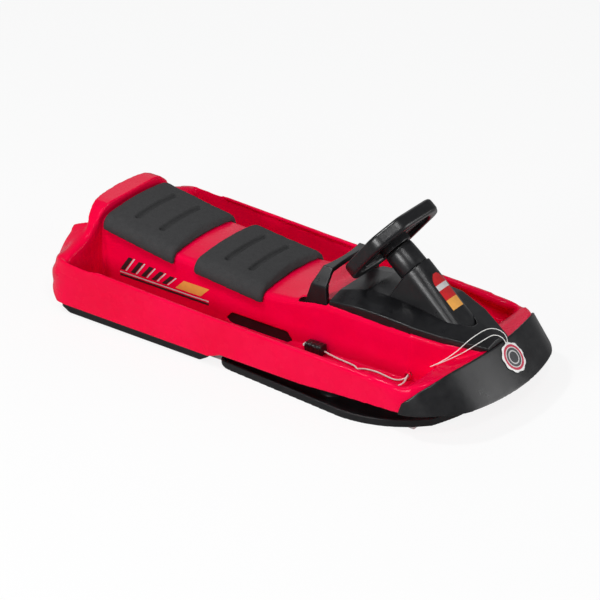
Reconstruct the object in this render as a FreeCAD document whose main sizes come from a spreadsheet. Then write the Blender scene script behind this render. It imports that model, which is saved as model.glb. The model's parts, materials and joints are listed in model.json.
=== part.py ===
"""Steering sled: moulded tub with a seat tunnel, steered front skis, a hand brake and a tow cord.

Millimetres. X points forward, Y to the rider's left, Z up. The origin lies on the ground,
under the middle of the sled.
"""
import FreeCAD, Part
import math
import os
import re
import types
from FreeCAD import Placement, Rotation, Vector

doc = FreeCAD.newDocument("steering_sled")
sheet = doc.addObject("Spreadsheet::Sheet", "sizes")

SIZES = [
    ("sled_length", 1190, "overall length, tail to nose"),
    ("end_reach", 25, "how far nose and tail reach past the base length"),
    ("base_length", "=sled_length - 2 * end_reach", "length that places along the sled follow"),
    ("drawn_length", 1140, "base length for which the tables of shares are drawn"),
    ("front_part", 604, "nose part, which keeps its shape at any length"),
    ("tail_part", 67, "tail part, which keeps its shape at any length"),
    ("rim_half", 250, "half width of the tub at the rim"),
    ("rim_height", 130, "height of the rim beside the seat"),
    ("keel_height", 40, "height of the tub's underside beside the front skis"),
    ("hull_skin", 4, "wall of the moulded tub"),
    ("rim_band", 26, "width of the rim round the front of the foot wells"),
    ("nose_radius", 500, "broad front curve of the nose, in plan"),
    ("nose_corner_radius", 150, "corner between nose and side, in plan"),
    ("tail_corner_radius", 75, "corner between tail and side, in plan"),
    ("side_flare_share", 0.075, "outward lean of the sides, per unit of height"),
    ("nose_rake_share", 0.83, "backward lean of the nose, per unit of height"),
    ("tail_rake_share", 0.22, "forward lean of the tail, per unit of height"),
    ("tail_level", 60, "height at which the tail reaches furthest back"),
    ("nose_level", 68, "height at which the nose reaches furthest forward"),
    ("loft_low", 20, "lower level of the tub's outlines"),
    ("loft_high", "=seat_height + 32", "upper level of the tub's outlines"),
    ("tunnel_half_low", 125, "half width of the seat tunnel at the floor"),
    ("tunnel_half_top", 112, "half width of the seat tunnel at its shoulders"),
    ("seat_height", 213, "height of the tunnel under the rear pad's back edge"),
    ("tunnel_crown", 10, "rise of the tunnel's top across its width"),
    ("shoulder_radius", 15, "rounding of the tunnel's shoulders"),
    ("back_thickness", 50, "depth of the raised tail, front to back"),
    ("back_height", "=seat_height + 23", "height of the raised tail"),
    ("back_curve", 440, "curve of the raised tail's back, in plan"),
    ("back_foot_half", 208, "half width where the raised tail meets the rim"),
    ("clearance", 0.3, "standing gap between pieces"),
    ("running", 0.05, "radial running clearance of a pin in its bush"),
    ("overrun", 30, "how far a cutting shape reaches past the solid"),
    ("bumper_skin", 6, "wall of the nose bumper"),
    ("rivet_diameter", 6, "bumper rivets"),
    ("rivet_head", 14, "bumper rivet heads"),
    ("rivet_head_height", 3, "bumper rivet heads"),
    ("rivet_level", 84, "height of the bumper rivets"),
    ("rivet_spacing", 90, "distance between bumper rivets round the nose"),
    ("pad_thickness", 12, "foam of the seat pads"),
    ("pad_crown", 4, "extra rise in the middle of a pad"),
    ("pad_wrap", 20, "how far a pad folds down over the shoulders"),
    ("pad_draw", 12, "length over which a pad's ends are drawn in"),
    ("pad_rear_start", "=67 - base_length / 2", "back edge of the rear pad"),
    ("pad_front_start", "=base_length / 2 - 604 - pad_front_length", "back edge of the front pad"),
    ("pad_rear_length", "=0.4542 * (base_length - 671)", "length of the rear pad"),
    ("pad_front_length", "=0.4264 * (base_length - 671)", "length of the front pad"),
    ("channel_half", 74, "half length of a pressed channel"),
    ("channel_radius", 7, "radius of a pressed channel"),
    ("channel_depth", 5, "depth of a pressed channel"),
    ("runner_rear", "=30 - base_length / 2", "back end of the rear runners"),
    ("runner_front", "=0.338 * base_length - 495.3", "front end of the rear runners"),
    ("runner_outer", 231, "outer edge of the rear runners from the middle"),
    ("runner_width", 62, "width of the rear runners"),
    ("runner_upturn", 24, "length of the turned-up ends of the rear runners"),
    ("screw_diameter", 6, "runner screws"),
    ("screw_head", 14, "runner screw heads"),
    ("screw_head_height", 3, "runner screw heads"),
    ("screw_length", 16, "runner screws below the floor"),
    ("screw_spacing", "=0.2665 * (base_length - 671)", "distance between runner screws"),
    ("screw_first", "=-0.3977 * base_length - 1.6", "rearmost runner screw"),
    ("column_tilt", 51, "lean of the steering column towards the rider, degrees"),
    ("wheel_x", "=base_length / 2 - 337", "middle of the steering wheel"),
    ("wheel_z", "=seat_height + 110", "middle of the steering wheel"),
    ("wheel_half", 120, "steering wheel, middle to outer edge"),
    ("rim_width", 25, "steering wheel rim, radially"),
    ("rim_depth", 33, "steering wheel rim, along the column"),
    ("rim_rounding", 8, "edges of the wheel rim"),
    ("rim_corner", 44, "corners of the wheel's outline"),
    ("hub_radius", 38, "steering wheel hub"),
    ("hub_depth", 34, "steering wheel hub"),
    ("spoke_width", 36, "steering wheel spokes"),
    ("spoke_depth", 12, "steering wheel spokes"),
    ("cap_height", 6, "cap over the wheel's middle"),
    ("cap_inset", 6, "edge of the hub left round the cap"),
    ("sleeve_radius", 42, "turning sleeve of the column"),
    ("sleeve_wall", 4, "wall of the sleeve and the tower"),
    ("sleeve_drop", 25, "top of the sleeve below the middle of the wheel"),
    ("sleeve_length", 60, "turning sleeve of the column"),
    ("seam_gap", 0.5, "gap between sleeve and tower"),
    ("tower_length", 215, "tower, along the column"),
    ("tower_flare", 26, "how far the tower spreads sideways at its foot"),
    ("shaft_radius", 8, "steering shaft"),
    ("shaft_length", 286, "steering shaft below the wheel"),
    ("bush_length", 22, "bearings of the steering shaft"),
    ("lower_bush_radius", 24, "lower bearing of the steering shaft"),
    ("lower_bush_drop", 222, "lower bearing, distance below the wheel"),
    ("lower_bush_length", 36, "lower bearing of the steering shaft"),
    ("pin_radius", 3, "cross pin of the wheel hub"),
    ("crank_length", 40, "shaft to ball of the crank arm"),
    ("crank_width", 13, "crank arm"),
    ("crank_depth", 10, "crank arm"),
    ("ball_radius", 7, "ball of the crank arm"),
    ("fork_play", 1.7, "room beside the ball in its fork"),
    ("fork_cheek", 5, "cheeks of the fork"),
    ("fork_length", 20, "cheeks of the fork, front to back"),
    ("fork_rise", 9, "cheeks of the fork above the ball's middle"),
    ("rocker_reach", 70, "rocker, pivot to ball"),
    ("rocker_width", 26, "rocker plate"),
    ("rocker_lift", 1.1, "gap between tie rod and rocker"),
    ("rocker_thickness", 6, "rocker plate"),
    ("rocker_pin_radius", 6, "pivot of the rocker"),
    ("rocker_pin_head", 11, "heads of the rocker pivot"),
    ("bridge_half", 140, "half length of the bridge that carries the rocker"),
    ("bridge_width", 30, "bridge that carries the rocker"),
    ("bridge_thickness", 6, "bridge that carries the rocker"),
    ("bridge_screw_y", 131, "screws of that bridge from the middle"),
    ("drive_slot", 9, "half length of the drive pin's slot"),
    ("drive_plate", 44, "widened middle of the tie rod"),
    ("cowl_wall", 3.5, "wall of the cowl"),
    ("cowl_half", 107, "half width of the cowl"),
    ("cowl_rear", "=base_length / 2 - 429", "back edge of the cowl"),
    ("cowl_front", "=base_length / 2 - 46", "front tip of the cowl"),
    ("cowl_height", "=seat_height - 1", "height of the cowl's ridge under the tower"),
    ("cowl_screw_radius", 3, "cowl screws"),
    ("cowl_screw_length", 12, "cowl screws"),
    ("kingpin_x", "=base_length / 2 - 366", "ski pivots"),
    ("kingpin_y", 178, "ski pivots from the middle"),
    ("kingpin_radius", 8, "ski pivots"),
    ("king_boss_radius", 22, "bosses for the ski pivots in the tub's floor"),
    ("king_boss_low", 44, "underside of those bosses"),
    ("king_boss_high", 62, "top of those bosses"),
    ("king_bush_radius", 12, "bush of a ski pivot"),
    ("king_flange_radius", 18, "flange of that bush"),
    ("king_flange", 3, "flange of that bush"),
    ("king_nut_radius", 13, "nut of a ski pivot, over corners"),
    ("king_nut_height", 8, "nut of a ski pivot"),
    ("ski_rear", "=0.3934 * base_length - 532.5", "back end of the front skis"),
    ("ski_nose", "=base_length / 2 - 46", "front of the skis' round outline"),
    ("ski_outer", 252, "outer edge of the front skis from the middle"),
    ("ski_tail_outer", 226, "outer edge of the front skis at their back end"),
    ("ski_inner", 72, "inner edge of the front skis from the middle"),
    ("ski_height", 18, "edge height of the front skis"),
    ("ski_floor", 7, "sole of the front skis"),
    ("ski_wall", 7, "raised edge of the front skis"),
    ("ski_tip_rise", 20, "rise of the ski tips"),
    ("ski_tip_radius", 26, "rounding of the ski tips"),
    ("ski_boss_radius", 26, "pivot boss of the front skis"),
    ("ski_boss_height", 22, "pivot boss of the front skis"),
    ("arm_hub_radius", 17, "hub of a steering arm"),
    ("arm_low", 29, "underside of a steering arm"),
    ("arm_thickness", 6, "steering arm"),
    ("arm_width", 24, "steering arm"),
    ("tie_x", "=base_length / 2 - 259", "tie rod"),
    ("tie_width", 14, "tie rod"),
    ("tie_height", 9, "tie rod"),
    ("tie_end", 16, "tie rod past its pins"),
    ("tie_pin_radius", 4, "pins of the tie rod"),
    ("tie_pin_head", 6.5, "heads of those pins"),
    ("tie_pin_head_height", 2.6, "heads of those pins"),
    ("slot_play", 0.7, "room beside a tie rod pin in its arm"),
    ("slot_length", 26, "slot of a steering arm"),
    ("brake_x", "=base_length / 2 - 470", "brake pivot"),
    ("brake_z", "=seat_height - 95", "brake pivot"),
    ("brake_shaft_radius", 6, "brake shaft"),
    ("bail_half", 104, "half width of the brake bail"),
    ("bail_thickness", 12, "legs and bar of the brake bail"),
    ("bail_rise", 35, "top of the brake bail above the seat"),
    ("bail_height", "=seat_height + bail_rise", "top of the brake bail"),
    ("bail_foot_rear", "=base_length / 2 - 496", "back edge of the bail's legs at the tunnel"),
    ("bail_foot_front", "=base_length / 2 - 436", "front edge of the bail's legs at the tunnel"),
    ("bail_top_rear", "=base_length / 2 - 480", "back edge of the bail's bar"),
    ("bail_top_front", "=base_length / 2 - 439", "front edge of the bail's bar"),
    ("bail_corner", 34, "outer corners of the bail"),
    ("bail_knee", 24, "height of the bail's spread feet above the brake shaft"),
    ("bail_waist", 17, "how far the bail's bar is drawn in at its middle, from behind"),
    ("bail_front_waist", 9, "how far the bail's bar is drawn in at its middle, from the front"),
    ("bail_eye_radius", 16, "eyes of the bail on the brake shaft"),
    ("bail_travel", 15, "room behind the legs for the pull"),
    ("bail_slot_play", 2.5, "room round the legs in their slots"),
    ("brake_block", 32, "bearing blocks of the brake shaft"),
    ("claw_rear", "=0.0608 * base_length - 309.3", "back end of a brake claw"),
    ("claw_front", "=0.2846 * base_length - 459.4", "front end of a brake claw"),
    ("claw_low", 46, "lower edge of a brake claw"),
    ("claw_thickness", 5, "steel of a brake claw"),
    ("arm_face_rear", "=0.2356 * base_length - 390.6", "back end of a brake arm's outer face"),
    ("arm_face_front", "=base_length / 2 - 536", "front end of a brake arm's outer face"),
    ("arm_face_low", 62, "lower edge of a brake arm"),
    ("arm_face_high", 78, "upper edge of a brake arm"),
    ("arm_face_outer", 113, "outer face of a brake arm"),
    ("arm_plate", 12, "thickness of a brake arm"),
    ("arm_eye", 20, "eye of a brake arm"),
    ("window_low", 52, "lower edge of the openings beside the brake arms"),
    ("window_lean", 16, "slant of the ends of those openings"),
    ("cover_lap", 5, "how far a window's cover reaches past its edge"),
    ("cover_thickness", 1, "sheet of a window's cover"),
    ("collar_radius", 10, "collars of the brake shaft"),
    ("collar_width", 7, "collars of the brake shaft"),
    ("cord_diameter", 4, "tow cord"),
    ("string_diameter", 2, "string of the hang tag"),
    ("grip_length", 46, "tow grip"),
    ("grip_width", 30, "tow grip"),
    ("grip_height", 27, "tow grip"),
    ("grip_x", "=base_length / 2 - 442", "tow grip"),
    ("grip_y", -138, "tow grip"),
    ("grip_z", 76, "tow grip"),
    ("grip_rounding", 8, "tow grip"),
    ("knot_radius", 6, "knot behind the grip"),
    ("eyelet_x", "=base_length / 2 - 204", "eyelet of the tow cord"),
    ("eyelet_z", 74, "eyelet of the tow cord"),
    ("eyelet_radius", 8, "eyelet of the tow cord"),
    ("eyelet_ring", 2.5, "ring of the eyelet"),
    ("loop_x", "=base_length / 2 - 134.3", "small ring for the tag's string"),
    ("loop_y", -121, "small ring for the tag's string"),
    ("loop_z", 123.4, "small ring for the tag's string"),
    ("loop_radius", 5, "small ring for the tag's string"),
    ("loop_ring", 1.5, "wire of that ring"),
    ("tag_radius", 37, "hang tag"),
    ("tag_thickness", 1.2, "hang tag"),
    ("tag_y", 20, "hang tag, off the middle"),
    ("tag_z", 119, "hang tag, height of its middle"),
    ("tag_standoff", 0.6, "hang tag off the bumper"),
]
for row, (alias, number, note) in enumerate(SIZES, 1):
    sheet.set(f"A{row}", note)
    sheet.set(f"B{row}", str(number))
    sheet.setAlias(f"B{row}", alias)
doc.recompute()
s = types.SimpleNamespace(**{alias: float(sheet.get(alias)) for alias, _, _ in SIZES})

half_length = s.base_length / 2
nose_end = half_length + s.end_reach
longer = half_length - s.drawn_length / 2
nodes = {}


def bind(obj, prop, words):
    """Tie a property to the sheet; words is a sum of the sheet's own names."""
    obj.setExpression(prop, re.sub(r"[a-z][a-z_]+", lambda word: "sizes." + word.group(), words))


def node(label, shape, placement=None):
    """A sub-part whose shape is worked out here."""
    obj = doc.addObject("Part::Feature", label)
    obj.Label = label
    obj.Shape = shape
    if placement is not None:
        obj.Placement = placement
    nodes[label] = obj
    return obj


def keep(obj, label):
    """Make a finished document object a sub-part."""
    obj.Label = label
    nodes[label] = obj
    return obj


def cylinder(name, radius, height, x, y, z):
    """An upright cylinder bound to the sheet."""
    obj = doc.addObject("Part::Cylinder", name)
    bind(obj, "Radius", radius)
    bind(obj, "Height", height)
    for axis, words in zip("xyz", (x, y, z)):
        bind(obj, f"Placement.Base.{axis}", words)
    return obj


def cross_cylinder(name, radius, half, x, z):
    """A cylinder along Y, centred on the middle of the sled, bound to the sheet."""
    obj = doc.addObject("Part::Cylinder", name)
    bind(obj, "Radius", radius)
    bind(obj, "Height", f"2 * ({half})")
    obj.Placement.Rotation = Rotation(Vector(1, 0, 0), -90)
    bind(obj, "Placement.Base.x", x)
    bind(obj, "Placement.Base.y", f"-({half})")
    bind(obj, "Placement.Base.z", z)
    return obj


def fuse(name, *pieces):
    obj = doc.addObject("Part::MultiFuse", name)
    obj.Shapes = list(pieces)
    obj.Refine = True
    return obj


def cut(name, base, tool):
    obj = doc.addObject("Part::Cut", name)
    obj.Base = base
    obj.Tool = tool
    obj.Refine = True
    return obj


def face_of(points):
    return Part.Face(Part.makePolygon(points + points[:1]))


def side_prism(points, half):
    """A side view (x, z) carried across the sled, half to each side."""
    return face_of([Vector(x, -half, z) for x, z in points]).extrude(Vector(0, 2 * half, 0))


def end_prism(points, rear, front):
    """An end view (y, z) carried from rear to front."""
    return face_of([Vector(rear, y, z) for y, z in points]).extrude(Vector(front - rear, 0, 0))


def block(low, high):
    size = [b - a for a, b in zip(low, high)]
    return Part.makeBox(*size, Vector(*low))


def mirror(shape):
    return shape.mirror(Vector(0, 0, 0), Vector(0, 1, 0))


def one_solid(shape):
    """The single solid of a boolean's result, with split faces joined."""
    solids = sorted(shape.Solids, key=lambda solid: solid.Volume)
    return solids[-1].removeSplitter()


def interpolate(table, x):
    """Values of a table of (x, value, ...) rows at x, on straight lines between rows."""
    for (x0, *before), (x1, *after) in zip(table, table[1:]):
        if x <= x1:
            break
    share = (x - x0) / (x1 - x0)
    return [a + (b - a) * share for a, b in zip(before, after)]


def along(share):
    """Place along the sled of a share of its half length. Only the seat between the ends stretches."""
    x = share * s.drawn_length / 2
    seat_rear = s.tail_part - s.drawn_length / 2
    seat_front = s.drawn_length / 2 - s.front_part
    part_way = (x - seat_rear) / (seat_front - seat_rear)
    return x + longer * (2 * min(max(part_way, 0), 1) - 1)


def on_lines(shares, height):
    return [(along(x), z * height) for x, z in shares]


# Tub: plan outlines joined by a loft, then trimmed between the keel line and the sheer line

def half_at(level):
    return s.rim_half + s.side_flare_share * (level - s.rim_height)


def nose_at(level):
    skin = s.bumper_skin + s.clearance
    return nose_end - skin - s.nose_rake_share * (level - s.nose_level)


def tail_at(level):
    return -nose_end + s.tail_rake_share * (level - s.tail_level)


def outline(level, grow, nose_inset=0):
    """Plan outline of the tub at one level, grown outwards all round."""
    return rounded_plan(level, half_at(level) + grow,
                        nose_at(level) + grow - nose_inset, tail_at(level) - grow,
                        s.nose_radius + grow, s.nose_corner_radius + grow, s.tail_corner_radius + grow)


def rounded_plan(level, half, nose, tail, front, corner, back):
    """Closed plan outline: broad front curve, round corners, straight sides and tail."""
    centre = nose - front
    reach = front - corner
    side = half - corner
    corner_x = centre + math.sqrt(reach ** 2 - side ** 2)
    turn = math.asin(side / reach)
    middle = (turn + math.pi / 2) / 2
    tip = (centre + front * math.cos(turn), front * math.sin(turn))
    bend = (corner_x + corner * math.cos(middle), side + corner * math.sin(middle))
    swing = back * (1 - math.sqrt(0.5))

    def at(x, y):
        return Vector(x, y, level)

    edges = [
        Part.Arc(at(tip[0], -tip[1]), at(nose, 0), at(*tip)),
        Part.Arc(at(*tip), at(*bend), at(corner_x, half)),
        Part.LineSegment(at(corner_x, half), at(tail + back, half)),
        Part.Arc(at(tail + back, half), at(tail + swing, half - swing), at(tail, half - back)),
        Part.LineSegment(at(tail, half - back), at(tail, back - half)),
        Part.Arc(at(tail, back - half), at(tail + swing, swing - half), at(tail + back, -half)),
        Part.LineSegment(at(tail + back, -half), at(corner_x, -half)),
        Part.Arc(at(corner_x, -half), at(bend[0], -bend[1]), at(tip[0], -tip[1])),
    ]
    return Part.Wire([edge.toShape() for edge in edges])


def tub_loft(grow, nose_inset=0):
    levels = (s.loft_low, s.loft_high)
    return Part.makeLoft([outline(level, grow, nose_inset) for level in levels], True, True)


KEEL_SHARES = [(-1.1, 2.2), (-0.965, 0.65), (-0.175, 0.65), (-0.115, 1.0), (0.29, 1.0),
               (0.53, 1.25), (0.75, 1.42), (0.91, 1.7), (1.12, 1.75)]
SHEER_SHARES = [(-1.1, 1.19), (-0.77, 1.11), (-0.18, 1.02), (0.35, 0.97), (0.74, 0.92),
                (0.82, 1.0), (0.88, 1.09), (0.93, 1.16), (1.12, 1.16)]
FLOOR_SHARES = [(-0.96, 4.6), (-0.872, 0.75), (-0.165, 0.75), (-0.105, 1.1), (0.0, 1.1),
                (0.12, 1.55), (0.688, 1.55), (0.775, 3.0), (0.86, 4.6)]
keel_line = on_lines(KEEL_SHARES, s.keel_height)
sheer_line = on_lines(SHEER_SHARES, s.rim_height)
floor_line = on_lines(FLOOR_SHARES, s.keel_height)
across = s.rim_half + s.overrun

# Seat tunnel: share of the half length, of the tunnel's half width, of the seat height, of the crown
TUNNEL_SHARES = [
    (-0.956, 1.0, 1.033, 1.0),
    (-0.882, 1.0, 1.0, 1.0),
    (-0.509, 1.0, 0.85, 1.0),
    (-0.41, 1.0, 0.84, 1.0),
    (-0.06, 1.0, 0.751, 1.0),
    (0.07, 1.0, 0.784, 0.8),
    (0.175, 1.0, 0.843, 0.7),
    (0.24, 1.0, 0.859, 0.6),
    (0.637, 0.955, 0.85, 0.6),
    (0.772, 0.76, 0.793, 0.6),
    (0.912, 0.4, 0.725, 0.6),
]
tunnel = [(along(x), width, z * s.seat_height, crown * s.tunnel_crown)
          for x, width, z, crown in TUNNEL_SHARES]


def tunnel_section(x, grow, crown_more=0):
    """End view of the tunnel at x: leaning sides, round shoulders and a crowned top."""
    width, top, crown = interpolate(tunnel, x)
    low = s.tunnel_half_low * width + grow
    high = s.tunnel_half_top * width + grow
    top = top + grow + crown_more
    crown = crown + crown_more
    shoulder = top - crown
    radius = s.shoulder_radius + grow
    lean = (low - high) / (shoulder - s.loft_low)
    base = s.loft_low - s.overrun

    def at(y, z):
        return Vector(x, y, z)

    foot = low + lean * s.overrun
    wall = (high + lean * radius, shoulder - radius)
    roof = (high - radius, top - crown * ((high - radius) / high) ** 2)
    bend = [0.25 * a + 0.5 * b + 0.25 * c for a, b, c in zip(wall, (high, shoulder), roof)]
    edges = [
        Part.LineSegment(at(-foot, base), at(foot, base)),
        Part.LineSegment(at(foot, base), at(*wall)),
        Part.Arc(at(*wall), at(*bend), at(*roof)),
        Part.Arc(at(*roof), at(0, top), at(-roof[0], roof[1])),
        Part.Arc(at(-roof[0], roof[1]), at(-bend[0], bend[1]), at(-wall[0], wall[1])),
        Part.LineSegment(at(-wall[0], wall[1]), at(-foot, base)),
    ]
    return Part.Wire([edge.toShape() for edge in edges])


def tunnel_loft(grow, rear=None, front=None):
    stations = [row[0] for row in tunnel]
    if rear is not None:
        stations = [rear] + [x for x in stations if rear < x < front] + [front]
    return Part.makeLoft([tunnel_section(x, grow) for x in stations], True, True)


# Raised tail behind the rear pad
BACK_SHARES = [(1.0, 0.62), (0.9, 0.665), (0.8, 0.735), (0.68, 0.84), (0.6, 0.91), (0.52, 0.968),
               (0.44, 0.995), (0.36, 1.0)]


def back_profile(inset):
    right = [(y * s.back_foot_half - inset, z * s.back_height - inset) for y, z in BACK_SHARES]
    low = s.loft_low - s.overrun if inset else s.loft_low
    right = [(right[0][0], low)] + right
    return right + [(-y, z) for y, z in reversed(right)]


back_rear = -nose_end - s.overrun
back_front = tail_at(s.back_height) + s.back_thickness
keel_up = keel_line + [(keel_line[-1][0], s.loft_high), (keel_line[0][0], s.loft_high)]
above_keel = side_prism(keel_up, across)
floor_up = floor_line + [(floor_line[-1][0], s.loft_high), (floor_line[0][0], s.loft_high)]
outer = tub_loft(0)


def back_room(inset):
    """Round plan within which the raised tail stays."""
    radius = s.back_curve - inset
    middle = tail_at(s.back_height) + s.back_curve
    return Part.makeCylinder(radius, s.loft_high + s.overrun, Vector(middle, 0, -s.overrun))


tub = outer.common(side_prism(keel_line + sheer_line[::-1], across))
back = end_prism(back_profile(0), back_rear, back_front).common(outer).common(back_room(0))
tunnel_solid = tunnel_loft(0)
raised = tunnel_solid.common(outer).fuse(back)
wells = tub_loft(-s.hull_skin, s.rim_band).common(side_prism(floor_up, across)).cut(raised)
solid = tub.fuse(raised).common(above_keel).cut(wells)

# Hollows under the skin: the tunnel, the raised tail, and the bays before and behind the wells
tunnel_rear = tunnel[0][0] + s.hull_skin
tunnel_front = tunnel[-1][0] - s.hull_skin
hollow = tunnel_loft(-s.hull_skin, tunnel_rear, tunnel_front)
back_inside = end_prism(back_profile(s.hull_skin), back_rear, back_front - s.hull_skin)
back_inside = back_inside.common(back_room(s.hull_skin))
inner = tub_loft(-s.hull_skin)
below_floor = [(x, z - 1.6 * s.hull_skin) for x, z in floor_line]
under_front = [(x + 0.9 * s.hull_skin, z - s.hull_skin) for x, z in floor_line]
tail_bay = below_floor[:2] + [(below_floor[1][0], s.loft_low), (back_rear, s.loft_low),
                              (back_rear, sheer_line[1][1] - s.hull_skin),
                              (below_floor[0][0], sheer_line[1][1] - s.hull_skin)]
tail_bay = side_prism(tail_bay[1:], across).common(inner)
front_floor = under_front[4:8]
nose_top = sheer_line[-1][1] - s.hull_skin
nose_bay = front_floor + [(nose_at(nose_top), nose_top), (nose_end + s.overrun, nose_top),
                          (nose_end + s.overrun, s.loft_low), (front_floor[0][0], s.loft_low)]
nose_bay = side_prism(nose_bay, across).common(inner)
solid = solid.cut(hollow.fuse([back_inside.common(inner), tail_bay, nose_bay]))

# Bosses for the ski pivots
king_sides = (s.kingpin_y, -s.kingpin_y)
boss_height = s.king_boss_high - s.king_boss_low
bosses = [Part.makeCylinder(s.king_boss_radius, boss_height, Vector(s.kingpin_x, y, s.king_boss_low))
          for y in king_sides]
king_holes = [Part.makeCylinder(s.king_bush_radius + s.clearance, boss_height,
                                Vector(s.kingpin_x, y, s.king_boss_low)) for y in king_sides]
solid = solid.fuse(bosses).cut(Part.makeCompound(king_holes))

# Slots for the brake legs, windows for the claws, and the opening for the steering column
leg_inner = s.bail_half - s.bail_thickness
slot_rear = s.bail_foot_rear - s.bail_travel - s.bail_slot_play
leg_slot = block((slot_rear, leg_inner - s.bail_slot_play, s.brake_z),
                 (s.bail_foot_front + s.bail_slot_play, s.bail_half + s.bail_slot_play, s.loft_high))
window = side_prism([(s.arm_face_rear, s.arm_face_high), (s.arm_face_rear - s.window_lean, s.arm_face_low),
                     (s.arm_face_rear, s.window_low), (s.arm_face_front, s.window_low),
                     (s.arm_face_front + s.window_lean, s.arm_face_low), (s.arm_face_front, s.arm_face_high)],
                    s.arm_face_outer + s.overrun)
column = Placement(Vector(s.wheel_x, 0, s.wheel_z), Rotation(Vector(0, 1, 0), -s.column_tilt))


def down_column(radius, start, length):
    """A round bar along the column; start is the distance below the wheel."""
    bar = Part.makeCylinder(radius, length, Vector(0, 0, -start - length))
    bar.Placement = column
    return bar


eyelet_width, eyelet_top, eyelet_crown = interpolate(tunnel, s.eyelet_x - s.eyelet_radius - s.eyelet_ring)
eyelet_low = s.tunnel_half_low * eyelet_width
eyelet_lean = (eyelet_low - s.tunnel_half_top * eyelet_width) / (eyelet_top - eyelet_crown - s.loft_low)
eyelet_wall = eyelet_low - eyelet_lean * (s.eyelet_z - s.eyelet_radius - s.eyelet_ring - s.loft_low)
eyelet_hole = Part.makeCylinder(s.eyelet_radius - s.eyelet_ring, 2 * s.overrun,
                                Vector(s.eyelet_x, -eyelet_wall - s.overrun, s.eyelet_z), Vector(0, 1, 0))
column_hole = down_column(s.lower_bush_radius + s.clearance, s.sleeve_length, s.shaft_length)
solid = solid.cut(Part.makeCompound([leg_slot, mirror(leg_slot)]))
solid = solid.cut(window).cut(column_hole).cut(eyelet_hole)


# Bumper: a skin round the nose, riveted from inside
def rivet_places():
    """Foot and outward direction of each rivet on the tub's raked nose."""
    radius = s.nose_radius
    nose = nose_at(s.rivet_level)
    lean = math.atan(s.nose_rake_share)
    for number in (-1.5, -0.5, 0.5, 1.5):
        turn = number * s.rivet_spacing / radius
        foot = Vector(nose - radius + radius * math.cos(turn), radius * math.sin(turn), s.rivet_level)
        level_way = math.cos(lean)
        yield foot, Vector(math.cos(turn) * level_way, math.sin(turn) * level_way, math.sin(lean))


ball_level = -s.shaft_length - s.ball_radius - s.tie_pin_head
ball_centre = column.multVec(Vector(-s.crank_length, 0, ball_level))
rocker_x = ball_centre.x - s.rocker_reach
shank = s.rivet_diameter / 2
bite = s.hull_skin / math.cos(math.atan(s.nose_rake_share)) + s.clearance
grip = s.bumper_skin * 0.6
holes = []
rivets = []
for foot, out in rivet_places():
    holes.append(Part.makeCylinder(shank + s.clearance, bite + s.clearance + grip, foot - out * bite, out))
    bar = Part.makeCylinder(shank, bite + grip, foot - out * bite, out)
    head = Part.makeCylinder(s.rivet_head / 2, s.rivet_head_height, foot - out * bite, out * -1)
    rivets.append(bar.fuse(head).removeSplitter())
holes = Part.makeCompound(holes)
floor_top = interpolate(floor_line, s.screw_first)[0]
screw_y = s.runner_outer - s.runner_width / 2
screw_places = [Vector(s.screw_first + s.screw_spacing * number, side * screw_y, floor_top)
                for number in range(3) for side in (-1, 1)]
screw_holes = [Part.makeCylinder(s.screw_diameter / 2 + s.clearance, s.screw_length, place, Vector(0, 0, -1))
               for place in screw_places]
cowl_screw_x = (s.cowl_rear + s.overrun, s.cowl_rear + 3 * s.overrun)
cowl_screw_y = s.cowl_half / 2
cowl_screw_places = [(x, side * cowl_screw_y, interpolate(tunnel, x)[1] - s.tunnel_crown)
                     for x in cowl_screw_x for side in (-1, 1)]
cowl_screw_holes = [Part.makeCylinder(s.cowl_screw_radius + s.clearance, s.cowl_screw_length * 3,
                                      Vector(x, y, z - s.cowl_screw_length)) for x, y, z in cowl_screw_places]
bridge_holes = [Part.makeCylinder(shank + s.clearance, s.hull_skin, Vector(rocker_x, side * s.bridge_screw_y,
                                  under_front[5][1] - s.hull_skin / 4)) for side in (1, -1)]
hull_holes = Part.makeCompound([holes] + screw_holes + cowl_screw_holes + bridge_holes)
node("hull_shell", one_solid(solid.cut(hull_holes)))

BUMPER_SHARES = [(0.75, 0.3), (0.752, 0.44), (0.768, 0.665), (0.828, 0.912), (0.884, 1.115), (0.915, 1.165),
                 (1.12, 1.165), (1.12, 0.3)]
bumper_view = on_lines(BUMPER_SHARES, s.rim_height)
bumper = tub_loft(s.clearance + s.bumper_skin).cut(tub_loft(s.clearance))
bumper = bumper.common(side_prism(bumper_view, across)).common(above_keel)
node("nose_bumper", one_solid(bumper.cut(holes)))
node("bumper_rivets", Part.makeCompound(rivets))

# Cowl: ridged console over the front of the tunnel. Shares of the way along, of the cowl's
# half width, of the ridge height at the chine, of the half width of the ridge, of its height
COWL_SHARES = [
    (0.0, 1.0, 0.877, 0.58, 0.93),
    (0.18, 1.0, 0.91, 0.47, 1.0),
    (0.36, 1.0, 0.915, 0.43, 1.0),
    (0.57, 0.99, 0.896, 0.355, 0.953),
    (0.77, 0.785, 0.835, 0.224, 0.887),
    (0.87, 0.607, 0.797, 0.16, 0.842),
    (1.0, 0.374, 0.745, 0.075, 0.783),
]


def cowl_section(row, inset):
    way, width, chine, ridge, top = row
    x = s.cowl_rear + way * (s.cowl_front - s.cowl_rear)
    half = width * s.cowl_half - inset
    low = s.keel_height if inset > 0 else s.keel_height + s.overrun
    points = [(half, low), (half, chine * s.cowl_height - inset),
              (ridge * s.cowl_half - inset / 2, top * s.cowl_height - inset)]
    points = points + [(-y, z) for y, z in reversed(points)]
    return Part.makePolygon([Vector(x, y, z) for y, z in points + points[:1]])


def cowl_loft(inset):
    loft = Part.makeLoft([cowl_section(row, inset) for row in COWL_SHARES], True, True)
    if inset <= 0:
        return loft
    room = block((s.cowl_rear + inset, -across, 0), (s.cowl_front - inset, across, s.loft_high * 2))
    return loft.common(room)


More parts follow.
